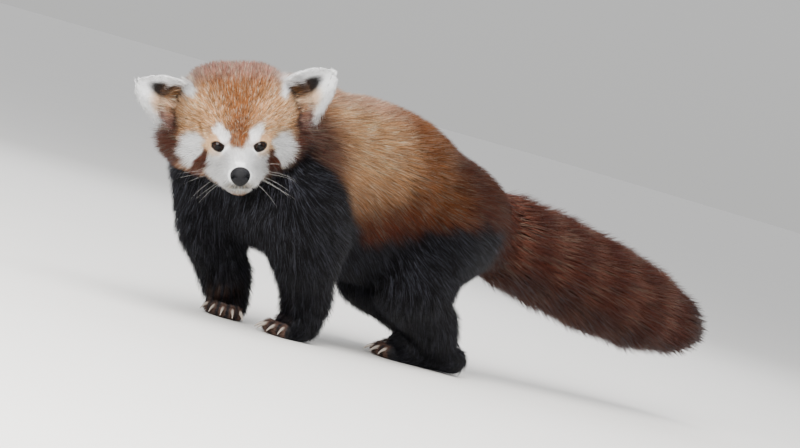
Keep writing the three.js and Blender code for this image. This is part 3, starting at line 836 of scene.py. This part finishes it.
def ear_sizes(p):
    q = to_head(p)
    length = np.zeros(len(p))
    for s in SIDES:
        here = q[:, 0] * s > 0
        u, v, _, _ = ear_place(q, s)
        fringe = ease((-v - 0.5) / 0.35) * ease((u - 0.02) / 0.2)
        length[here] = (4.5 + fringe * mix(16, 3, ease(u)))[here]
    return np.stack([length, 0.55 + 0 * length, 2.2 + 0 * length], axis=1)


def paw_sizes(p):
    toe = np.full(len(p), FAR)
    for leg in LEGS.values():
        toe = np.minimum(toe, np.linalg.norm(p - from_paw(leg, [0, -24, 8]), axis=1))
    back = ease((toe - 16) / 22)
    return np.stack([mix(5.5, 16, back), mix(0.55, 0.75, back), mix(1.0, 0.7, back)], axis=1)


def even_sizes(length, width, density):
    return lambda p: np.tile([length, width, density], (len(p), 1))


SIZES = {
    "head": head_sizes,
    "neck": even_sizes(26, 0.9, 0.55),
    "trunk": even_sizes(30, 1.0, 0.6),
    "tail": even_sizes(48, 0.95, 0.22),
    "ear": ear_sizes,
    "leg": even_sizes(24, 0.85, 0.66),
    "paw": paw_sizes,
}
# Width of the clumps, how far they draw their tips together, and how uneven the tips' height and shade are
CLUMP = {"head": 2.6, "neck": 4.5, "trunk": 4.5, "tail": 8, "ear": 3, "leg": 4.5, "paw": 3}
PULL = {"head": 0.25, "neck": 0.25, "trunk": 0.25, "tail": 0.25, "ear": 0.1, "leg": 0.3, "paw": 0.25}
STANDS = {"head": 4, "neck": 4, "trunk": 4, "tail": 9, "ear": 1.2, "leg": 6, "paw": 2}
GRIZZLE = {"head": 0.62, "neck": 0.55, "trunk": 0.55, "tail": 0.36, "ear": 0.1, "leg": 0.4, "paw": 0.3}
FLOOR_GAP = 0.6  # no tip goes lower than this


def sample(points, triangles, density, rng):
    """Roots spread over the skin by its density: their triangles and their places in them."""
    a, b, c = (points[triangles[:, k]] for k in range(3))
    ends = np.cumsum(np.linalg.norm(np.cross(b - a, c - a), axis=1) / 2 * density)
    count = int(ends[-1])
    picks = (np.arange(count) + rng.random(count)) / count * ends[-1]
    chosen = np.minimum(np.searchsorted(ends, picks), len(triangles) - 1)
    u, v = rng.random((2, count))
    over = u + v > 1
    u[over], v[over] = 1 - u[over], 1 - v[over]
    return chosen, np.stack([1 - u - v, u, v], axis=1)


def comb(root, normal, share, level, rng):
    """Lengths, widths and lines of the tufts on these roots."""
    sizes = by_kind(root, SIZES, share)
    length = sizes[:, 0] * rng.uniform(0.72, 1.18, len(root))
    lie = by_kind(root, LIE, share)
    lie = lie + 0.14 * rng.normal(size=lie.shape) * np.linalg.norm(lie, axis=1, keepdims=True)
    wander = np.stack([waves(root, 34, seed) for seed in (61, 62, 63)], axis=1)
    lie = lie + 0.14 * wander * np.linalg.norm(lie, axis=1, keepdims=True)
    lie = unit(lie - normal * np.sum(lie * normal, axis=1, keepdims=True))
    rise = np.clip(level - outer(root), 0.12 * length, 0.75 * length)
    run = np.sqrt(np.maximum(length**2 - rise**2, 0))
    return sizes, lie, rise, run


def clumps(root, size, rng):
    """The number of the clump that each tuft belongs to."""
    jitter = rng.normal(size=root.shape) * size * 0.22
    cell = np.floor((root + jitter) / size).astype(np.int64)
    return np.unique(cell @ np.array([1, 4001, 16008001]), return_inverse=True)[1]


def drawn(tips, index, pull):
    """Tips drawn together with those of their own clump."""
    count = np.bincount(index)
    mean = np.stack([np.bincount(index, tips[:, k]) / count for k in range(3)], axis=1)
    return tips + (mean[index] - tips) * pull


def tuft_mesh(lines, side, width, colours, uv, rings):
    """Closed three-sided tufts. `lines` holds the points along each tuft, from its root to its tip."""
    count, steps = len(side), len(rings)
    corners = [np.array([math.cos(a), math.sin(a)]) for a in (math.pi * 7 / 6, -math.pi / 6, math.pi / 2)]
    shape = np.empty((count, steps * 3 + 1, 3))
    paint_on = np.empty((count, steps * 3 + 1, 3))
    flat = np.empty((count, steps * 3 + 1, 2))
    for i, share in enumerate(rings):
        ahead = unit(lines[i + 1] - lines[i])
        across = unit(side - ahead * np.sum(side * ahead, axis=1, keepdims=True))
        up = np.cross(across, ahead)
        for k, (cx, cy) in enumerate(corners):
            spread = across * cx + up * cy * 0.6
            shape[:, i * 3 + k] = lines[i] + spread * (width * share / 1.7)[:, None]
            flat[:, i * 3 + k] = uv + np.array([(k - 1) * 0.0011, (i / steps - 0.5) * 0.003])
        paint_on[:, i * 3 : i * 3 + 3] = colours[i][:, None]
    shape[:, -1] = lines[-1]
    paint_on[:, -1] = colours[-1]
    flat[:, -1] = uv + np.array([0, 0.0015])
    tris = [(0, 2, 1)]
    for i in range(steps - 1):
        for k in range(3):
            a, b = i * 3 + k, i * 3 + (k + 1) % 3
            tris += [(a, b, b + 3), (a, b + 3, a + 3)]
    last = (steps - 1) * 3
    tris += [(last + k, last + (k + 1) % 3, steps * 3) for k in range(3)]
    index = np.array(tris)[None] + (np.arange(count) * (steps * 3 + 1))[:, None, None]
    return shape.reshape(-1, 3), index.reshape(-1, 3), paint_on.reshape(-1, 3), flat.reshape(-1, 2)


# Materials
def node_material(name):
    material = bpy.data.materials.new(name)
    material.use_nodes = True
    nodes, links = material.node_tree.nodes, material.node_tree.links
    shader = next(n for n in nodes if n.type == "BSDF_PRINCIPLED")
    return material, nodes, links, shader


def noise_of(nodes, links, scale, detail=3.0):
    place = nodes.new("ShaderNodeTexCoord")
    noise = nodes.new("ShaderNodeTexNoise")
    noise.inputs["Scale"].default_value = scale
    noise.inputs["Detail"].default_value = detail
    links.new(place.outputs["Object"], noise.inputs["Vector"])
    return noise


def painted_material(name, roughness, specular=0.4, grain=700, bump=0.0, uneven=0.12):
    """Takes its colour from the piece's colour attribute, its marks and painted sheen and shade together,
    with a fine unevenness of shade and surface.
    """
    material, nodes, links, shader = node_material(name)
    attribute = nodes.new("ShaderNodeAttribute")
    attribute.attribute_name = "markings_with_painted_light"
    noise = noise_of(nodes, links, grain)
    spread = nodes.new("ShaderNodeMapRange")
    spread.inputs["To Min"].default_value = 1 - uneven
    spread.inputs["To Max"].default_value = 1 + uneven
    shade = nodes.new("ShaderNodeVectorMath")
    shade.operation = "SCALE"
    links.new(noise.outputs["Fac"], spread.inputs["Value"])
    links.new(attribute.outputs["Color"], shade.inputs[0])
    links.new(spread.outputs["Result"], shade.inputs["Scale"])
    links.new(shade.outputs["Vector"], shader.inputs["Base Color"])
    shader.inputs["Roughness"].default_value = roughness
    shader.inputs["Specular IOR Level"].default_value = specular
    if bump:
        rough = nodes.new("ShaderNodeBump")
        rough.inputs["Strength"].default_value = bump
        rough.inputs["Distance"].default_value = 0.001
        links.new(noise.outputs["Fac"], rough.inputs["Height"])
        links.new(rough.outputs["Normal"], shader.inputs["Normal"])
    return material


MATERIALS = {
    "skin": painted_material("skin_under_coat", 0.8, bump=0.6, grain=900),
    "hair": painted_material("hair", 0.55, specular=0.18, grain=400),
    "dark_hair": painted_material("dark_hair", 0.42, specular=0.2, grain=400),
    "eye": painted_material("eye", 0.07, specular=0.17, grain=1500),
    "nose": painted_material("nose_leather", 0.36, specular=0.2, grain=2200, bump=0.5, uneven=0.25),
    "claw": painted_material("claw_horn", 0.3, specular=0.5, grain=600, uneven=0.15, bump=0.15),
    "whisker": painted_material("whisker", 0.35, specular=0.5),
}

# The skin
UNDER_SHADE = 0.72  # painted shade: the skin is darker than the coat over it, as it lies in the coat's shade
FLESH = ["head", "neck", "torso", "tail", "ear_left", "ear_right", *LEGS, *[f"{leg}_paw" for leg in LEGS]]


def unwrap(piece):
    """Lays the skin out flat as its map, and gives each triangle corner's place there."""
    bpy.context.view_layer.objects.active = piece
    piece.select_set(True)
    bpy.ops.object.mode_set(mode="EDIT")
    bpy.ops.mesh.select_all(action="SELECT")
    bpy.ops.uv.smart_project(angle_limit=math.radians(70), island_margin=0.002)
    bpy.ops.object.mode_set(mode="OBJECT")
    piece.select_set(False)
    piece.data.uv_layers.active.name = "OFBake"
    uv = np.zeros(len(piece.data.loops) * 2, np.float32)
    piece.data.uv_layers.active.uv.foreach_get("vector", uv)
    return uv.reshape(-1, 3, 2)


def build_skin():
    """The one skin that replaces the solids' flesh: its points, triangles and map."""
    low, high = (np.array(corner) * 1000 - SHIFT for corner in cad_box)
    points, squares = surface_net(skin, low - 4 * STEP, high + 4 * STEP, STEP)
    points, triangles = refined(points, squares, [face_zone, fine_zone, lid_zone])
    points = settle(points, skin)
    points[:, 2] = np.maximum(points[:, 2], 0.0)
    piece = mesh_piece("skin", points, triangles, markings_with_painted_light(points, weights(points)) * UNDER_SHADE)
    dress(piece, MATERIALS["skin"], "coat_rust", *FLESH)
    return points, triangles, unwrap(piece)


# The coat
ROOTED = 1.0  # a tuft starts this far under the skin
SEEN_AT = 0.88  # share of a tuft's length where it takes its colour, as its outer end is what shows
BENDING = {"along": (0, 1, 2), "widths": (0.85, 0.8), "triangles": 10}
STRAIGHT = {"along": (0, 2), "widths": (1.0,), "triangles": 4}
TUFT = {kind: BENDING if kind == "tail" else STRAIGHT for kind in KINDS}
LARGEST = 190000  # triangles in one piece
SLOT = {
    "head": "coat_face",
    "neck": "coat_black",
    "trunk": "coat_rust",
    "tail": "coat_tail",
    "ear": "coat_white",
    "leg": "coat_black",
    "paw": "coat_black",
}


def bare(root):
    """True on the lips, eyes, nose and soles, where no tuft grows."""
    found = (MOUTH(root) < 1.9) | (eye_distance(root) < EYE_RADIUS + 0.8) | (root[:, 2] < 0.5)
    found |= np.linalg.norm((to_head(root) - NOSE) / [11.5, 8, 9], axis=1) < 1
    for s in SIDES:
        found |= (opening(root, s) < 1.6) & (eye_distance(root) < 18)
    return found


def planted(points, triangles, skin_map, rng):
    """The roots of the tufts and their places on the map."""
    centre = points[triangles].mean(axis=1)
    density = by_kind(centre, SIZES, weights(centre))[:, 2]
    chosen, place = sample(points, triangles, density, rng)
    root = np.einsum("ijk,ij->ik", points[triangles[chosen]], place)
    grows = ~bare(root)
    uv = np.einsum("ijk,ij->ik", skin_map[chosen[grows]], place[grows])
    return root[grows], uv


def per_kind(values, owner):
    return np.select([owner == kind for kind in KINDS], [values[kind] for kind in KINDS])


def tip_levels(root, owner, rng):
    """How far each tip stands out past the coat's outer surface."""
    level = per_kind(STANDS, owner) * rng.uniform(-0.7, 1, len(root))
    on_head, on_ear, on_paw = (owner == kind for kind in ("head", "ear", "paw"))
    q = to_head(root[on_head])
    level[on_head] *= np.clip(head_sizes(root[on_head])[:, 0] / 14, 0.15, 1.3)
    level[on_head] += 7 * jowl_share(q) * rng.random(on_head.sum())
    level[on_head] += 15 * ruff_share(q) * rng.random(on_head.sum())
    level[on_ear] = ear_sizes(root[on_ear])[:, 0] * rng.uniform(0.05, 0.6, on_ear.sum())
    level[on_paw] *= paw_sizes(root[on_paw])[:, 0] / 7
    return level


def tuft_lines(root, normal, lie, rise, run, level):
    """The base, middle and tip of each tuft. No tip stands out past its own level."""
    base = root - normal * ROOTED
    middle = root + lie * (run * 0.42)[:, None] + normal * (rise * 0.68)[:, None]
    tip = root + lie * run[:, None] + normal * rise[:, None]
    tip -= slope(outer, tip) * np.maximum(outer(tip) - level, 0)[:, None]
    middle -= normal * np.clip(outer(middle) + rise * 0.3, 0, 12)[:, None]
    return base, middle, tip


def gather(root, tip, owner, rng):
    """Draws the tips together in clumps, in place, and gives each tuft its clump's shade."""
    shade = np.zeros(len(root))
    for kind, size in CLUMP.items():
        these = owner == kind
        index = clumps(root[these], size, rng)
        tip[these] = drawn(tip[these], index, PULL[kind])
        shade[these] = rng.uniform(-1, 1, index.max() + 1)[index]
    return shade


def tuft_shades(root, tip, owner, clump_shade, rng):
    """The colours of each tuft at its base, middle and tip: painted shade darkens the base, deep in the coat,
    and painted light makes the tip a quarter lighter.
    """
    seen = root + (tip - root) * np.where(owner == "ear", 0, SEEN_AT)[:, None]
    own = markings_with_painted_light(seen, weights(seen))
    plain = ease((own.min(axis=1) - 0.35) / 0.4)  # white fur is the most even
    uneven = per_kind(GRIZZLE, owner) * (1 - 0.45 * plain)
    own *= (1 + uneven * (0.85 * rng.uniform(-1, 1, len(root)) + 0.5 * clump_shade))[:, None]
    # Pale tufts: on brown and white fur, the coat's own pale-tipped hairs; on black fur, a bluish painted
    # sheen of strand highlights
    pale = rng.random(len(root)) < 0.2 + 0.2 * clump_shade
    warmth = mix(np.array([1.2, 0.93, 0.66]), np.ones(3), plain[pale, None])
    most = own[pale].max(axis=1, keepdims=True)
    pale_tip_and_sheen = most * warmth + 0.075 * np.array([0.85, 0.9, 1.2]) * (1 - ease(most / 0.1))
    own[pale] += (pale_tip_and_sheen - own[pale]) * (uneven[pale] * 1.6)[:, None]
    # painted shade at each tuft's base, deep in the coat
    painted_depth_shade = mix(0.5, 0.6, plain)[:, None]
    return [np.clip(shade, 0, 0.97) for shade in (own * painted_depth_shade, own, own * 1.25)]


def build_coat(points, triangles, skin_map, rng):
    root, uv = planted(points, triangles, skin_map, rng)
    share = weights(root)
    normal = slope(skin, root)
    owner = np.array([kind_of(part) for part in PARTS])[share.argmax(axis=0)]
    level = tip_levels(root, owner, rng)
    sizes, lie, rise, run = comb(root, normal, share, level, rng)
    base, middle, tip = tuft_lines(root, normal, lie, rise, run, level)
    clump_shade = gather(root, tip, owner, rng)
    tip[:, 2] = np.maximum(tip[:, 2], FLOOR_GAP)
    middle[:, 2] = np.maximum(middle[:, 2], FLOOR_GAP + 0.6)
    side = np.cross(lie, normal)
    shades = tuft_shades(root, tip, owner, clump_shade, rng)
    for kind in KINDS:
        form = TUFT[kind]
        material = MATERIALS["dark_hair" if kind in ("leg", "paw") else "hair"]
        rows = np.flatnonzero(owner == kind)
        rows = rows[np.argsort(root[rows, 1], kind="stable")]
        pieces = max(1, math.ceil(len(rows) * form["triangles"] / LARGEST))
        for k, group in enumerate(np.array_split(rows, pieces)):
            lines = [(base, middle, tip)[i][group] for i in form["along"]]
            colours = [shades[i][group] for i in form["along"]]
            width = sizes[group, 1] * rng.uniform(0.8, 1.2, len(group))
            shape = tuft_mesh(lines, side[group], width, colours, uv[group], form["widths"])
            dress(mesh_piece(f"coat_{kind}_{k + 1}", *shape), material, SLOT[kind])


# Eyes
EYE_RINGS, EYE_SIDES = 28, 40
PUPIL_ANGLE, IRIS_ANGLE = 0.44, 0.72  # from the middle of the cornea, in radians


def eye_colour(angle, around):
    streak = 0.5 + 0.5 * np.sin(around * 23 + 3 * np.sin(around * 5))
    iris = tint("#1b0e07") * (0.6 + 0.8 * streak[:, None])
    c = np.where((angle < PUPIL_ANGLE)[:, None], tint("#050303"), iris)
    return mix(c, tint("#0b0706"), ease((angle - IRIS_ANGLE) / 0.12)[:, None])


def build_eye(s):
    a = np.linspace(0, np.pi, EYE_RINGS)[:, None]
    b = np.arange(EYE_SIDES)[None] * 2 * np.pi / EYE_SIDES
    cornea = 1 + 0.05 * np.exp(-((a / 0.6) ** 2))
    q = np.stack([np.sin(a) * np.cos(b), -np.cos(a) + 0 * b, np.sin(a) * np.sin(b)], axis=-1)
    q = (q * cornea[..., None]).reshape(-1, 3)
    index = []
    for ring in range(0, (EYE_RINGS - 1) * EYE_SIDES, EYE_SIDES):
        after = ring + EYE_SIDES
        for k in range(EYE_SIDES):
            m = (k + 1) % EYE_SIDES
            index += [(ring + k, after + k, after + m), (ring + k, after + m, ring + m)]
    gaze = turn(0, 4, 0)
    points = from_head(EYE * [s, 1, 1] + (q * EYE_RADIUS) @ gaze.T)
    colour = eye_colour(np.repeat(a.ravel(), EYE_SIDES), np.tile(b.ravel(), EYE_RINGS))
    piece = mesh_piece(f"eyeball_{SIDES[s]}", points, np.array(index), colour)
    work = bmesh.new()
    work.from_mesh(piece.data)
    bmesh.ops.remove_doubles(work, verts=work.verts, dist=1e-6)  # the points that meet at each pole
    work.to_mesh(piece.data)
    work.free()
    dress(piece, MATERIALS["eye"], "eye", f"eye_{SIDES[s]}")


# The nose pad, with comma-shaped nostrils and a groove below
NOSE_BOX = ((-14.0, -88, -48), (14.0, -60, -20))
NOSE_STEP = 0.7


def nose_field(q):
    pad = ellipsoid((0, -75, -34.2), (10.6, 7.2, 8.6))(q)
    pad = joined(pad, ellipsoid((0, -73.5, -38.6), (8.3, 6.2, 7.8))(q), 4)
    for s in SIDES:
        nostril = np.array([(s * 4.6, -81.8, -35.5), (s * 6.6, -80.2, -34.4), (s * 8.0, -77.5, -36.5)])
        pad = carved(pad, line_field(nostril, 1.25)(q), 0.9)
    groove = np.array([(0, -83, -36.5), (0, -80, -45)])
    return carved(pad, line_field(groove, 0.7)(q), 0.8)


def build_nose():
    q, squares = surface_net(nose_field, *NOSE_BOX, NOSE_STEP)
    triangles = np.concatenate([squares[:, [0, 1, 2]], squares[:, [0, 2, 3]]])
    q = settle(q, nose_field)
    # painted shade: the nose pad darkens towards its lower part, under the light from above, and its bluish
    # tint is a painted sheen
    shade = (1 + 0.15 * waves(q, 5, 71)) * mix(0.35, 1.0, ease((q[:, 2] + 44) / 9))
    piece = mesh_piece("nose_pad", from_head(q), triangles, tint("#0b0b10") * shade[:, None])
    dress(piece, MATERIALS["nose"], "nose", "nose")


# Tapered tubes, for claws and whiskers
def tube(line, radii, sides=8, squash=1.0):
    points = []
    steps = len(line) - 1
    for i in range(steps):
        ahead = unit(line[i + 1] - line[max(i - 1, 0)])
        across = unit(np.cross(ahead, [0.13, 0.21, 1.0]))
        up = np.cross(across, ahead)
        for k in range(sides):
            a = 2 * np.pi * k / sides
            points.append(line[i] + across * radii[i] * squash * math.cos(a) + up * radii[i] * math.sin(a))
    points += [line[0], line[-1]]
    first, last = steps * sides, steps * sides + 1
    index = []
    for k in range(sides):
        m = (k + 1) % sides
        index += [(first, m, k), (last, (steps - 1) * sides + k, (steps - 1) * sides + m)]
        for i in range(steps - 1):
            index += [(i * sides + k, i * sides + m, (i + 1) * sides + m)]
            index += [(i * sides + k, (i + 1) * sides + m, (i + 1) * sides + k)]
    return np.array(points), np.array(index)


def joined_tubes(tubes):
    points, index, at = [], [], 0
    for p, t in tubes:
        points.append(p)
        index.append(t + at)
        at += len(p)
    return np.concatenate(points), np.concatenate(index)


CLAW = {"length": 15, "root": 6, "drop": 9, "half": 2.9, "sides": 10, "squash": 0.7}
CLAW_POINTS = np.linspace(0, 1, 9)


def claw_tube(leg, i):
    t = CLAW_POINTS
    a = math.radians(TOE_ANGLES[i])
    start = toe_reach(i) - CLAW["root"] + (TOE_RADIUS + CLAW["root"]) * 0.6
    reach = start + CLAW["length"] * np.sin(t * 1.1)
    z = TOE_RADIUS + 2.4 - CLAW["drop"] * (1 - np.cos(t * 1.45))
    line = np.stack([math.sin(a) * reach, -math.cos(a) * reach, z], axis=1)
    line = line @ turn(leg["yaw"]).T + np.array([*leg["paw"], 0])
    return tube(line, CLAW["half"] * (1 - 0.85 * t), CLAW["sides"], CLAW["squash"])


def build_claws():
    along = np.concatenate([np.repeat(CLAW_POINTS[:-1], CLAW["sides"]), [0, 1]])
    shade = mix(tint("#4a3a30"), tint("#9a9086"), ease(along / 0.35)[:, None])
    for name, leg in LEGS.items():
        for i in range(len(TOE_ANGLES)):
            points, index = claw_tube(leg, i)
            piece = mesh_piece(f"claw_{name}_{i + 1}", points, index, shade)
            dress(piece, MATERIALS["claw"], "claw", f"{name}_claw_{i + 1}")


WHISKERS = 7  # a side


def whisker(s, share, rng):
    """The line of one whisker. `share` runs from the highest to the lowest of a side."""
    start = np.array([s * rng.uniform(13, 27), rng.uniform(-62, -44), -32 - 14 * share])
    start = start - slope(head_masses, start[None])[0] * (head_masses(start[None])[0] + 2)
    length = rng.uniform(34, 54)
    t = np.linspace(0, 1, 9)[:, None]
    out = unit(np.array([s * 1.0, rng.uniform(-0.1, 0.5), 0.3 - share + rng.uniform(-0.1, 0.1)]))
    fall = np.array([s * rng.uniform(-0.3, 0), 0.25, -1]) * rng.uniform(0.1, 0.45)
    return from_head(start + out * length * t + fall * length * t * t)


def build_whiskers(rng):
    lines = [whisker(s, i / (WHISKERS - 1), rng) for s in SIDES for i in range(WHISKERS)]
    points, index = joined_tubes([tube(line, np.linspace(0.07, 0.02, 9), 4) for line in lines])
    piece = mesh_piece("whiskers", points, index, np.tile(tint("#e6e3de"), (len(points), 1)))
    dress(piece, MATERIALS["whisker"], "coat_white")


# Floor, light and camera
FLOOR_HALF = 30  # metres
CAMERA = {"azimuth": 47.0, "elevation": 2.0, "roll": 16.2, "at": (2979.3, -2607.4, 290.7), "lens": 163.6}


def floor_material():
    material, nodes, links, shader = node_material("pale_floor")
    noise = noise_of(nodes, links, 3.0, 5.0)
    ramp = nodes.new("ShaderNodeValToRGB")
    ramp.color_ramp.elements[0].color = (*(tint("#e6e4e0") * 0.97), 1)
    ramp.color_ramp.elements[1].color = (*tint("#e6e4e0"), 1)
    links.new(noise.outputs["Fac"], ramp.inputs["Fac"])
    links.new(ramp.outputs["Color"], shader.inputs["Base Color"])
    shader.inputs["Roughness"].default_value = 0.9
    return material


def build_floor():
    mesh = bpy.data.meshes.new("floor")
    corners = [(x * FLOOR_HALF, y * FLOOR_HALF, 0) for x, y in ((-1, -1), (1, -1), (1, 1), (-1, 1))]
    mesh.from_pydata(corners, [], [(0, 1, 2, 3)])
    mesh.materials.append(floor_material())
    floor = bpy.data.objects.new("floor", mesh)
    bpy.context.scene.collection.objects.link(floor)


def build_sky():
    """A pale surround, a little darker towards the floor."""
    world = bpy.data.worlds.new("studio")
    bpy.context.scene.world = world
    world.use_nodes = True
    nodes, links = world.node_tree.nodes, world.node_tree.links
    sky = nodes["Background"]
    sky.inputs["Strength"].default_value = 1.0
    height = nodes.new("ShaderNodeSeparateXYZ")
    direction = nodes.new("ShaderNodeTexCoord")
    ramp = nodes.new("ShaderNodeValToRGB")
    ramp.color_ramp.elements[0].color = (*tint("#cfcfce"), 1)
    ramp.color_ramp.elements[1].color = (*tint("#f4f6fa"), 1)
    ramp.color_ramp.elements[1].position = 0.6
    links.new(direction.outputs["Generated"], height.inputs["Vector"])
    links.new(height.outputs["Z"], ramp.inputs["Fac"])
    links.new(ramp.outputs["Color"], sky.inputs["Color"])


def soft_light(name, at, target, size, power, colour):
    light = bpy.data.lights.new(name, "AREA")
    light.shape = "DISK"
    light.size = size
    light.energy = power
    light.color = colour
    lamp = bpy.data.objects.new(name, light)
    bpy.context.scene.collection.objects.link(lamp)
    lamp.location = at
    lamp.rotation_euler = (Vector(target) - Vector(at)).to_track_quat("-Z", "Y").to_euler()


def build_camera():
    """The camera at the photo's viewing angle, rolled so that the level floor lies as its slope does."""
    a, e, r = (math.radians(CAMERA[k]) for k in ("azimuth", "elevation", "roll"))
    across = np.array([math.cos(a), math.sin(a), 0])
    back = np.array([math.sin(a) * math.cos(e), -math.cos(a) * math.cos(e), math.sin(e)])
    up = np.cross(back, across)
    right = across * math.cos(r) + up * math.sin(r)
    top = np.cross(back, right)
    data = bpy.data.cameras.new("camera")
    data.sensor_width = 36
    data.lens = CAMERA["lens"]
    eye = bpy.data.objects.new("camera", data)
    bpy.context.scene.collection.objects.link(eye)
    rows = np.eye(4)
    rows[:3, :3] = np.stack([right, top, back], axis=1)
    rows[:3, 3] = placed(CAMERA["at"])
    eye.matrix_world = Matrix(rows.tolist())
    bpy.context.scene.camera = eye


rng = np.random.default_rng(SEED)
build_coat(*build_skin(), rng)
for s in SIDES:
    build_eye(s)
build_nose()
build_claws()
build_whiskers(rng)
build_floor()
build_sky()
soft_light("sky", (0.4, -0.3, 2.2), (0, 0, 0.15), 2.4, 74, (1, 0.98, 0.96))
soft_light("front", (1.2, -2.0, 1.2), (0, -0.2, 0.15), 1.8, 110, (1, 0.99, 0.97))
soft_light("back", (-1.5, 1.2, 1.4), (0, 0.1, 0.15), 1.4, 20, (0.95, 0.97, 1))
build_camera()
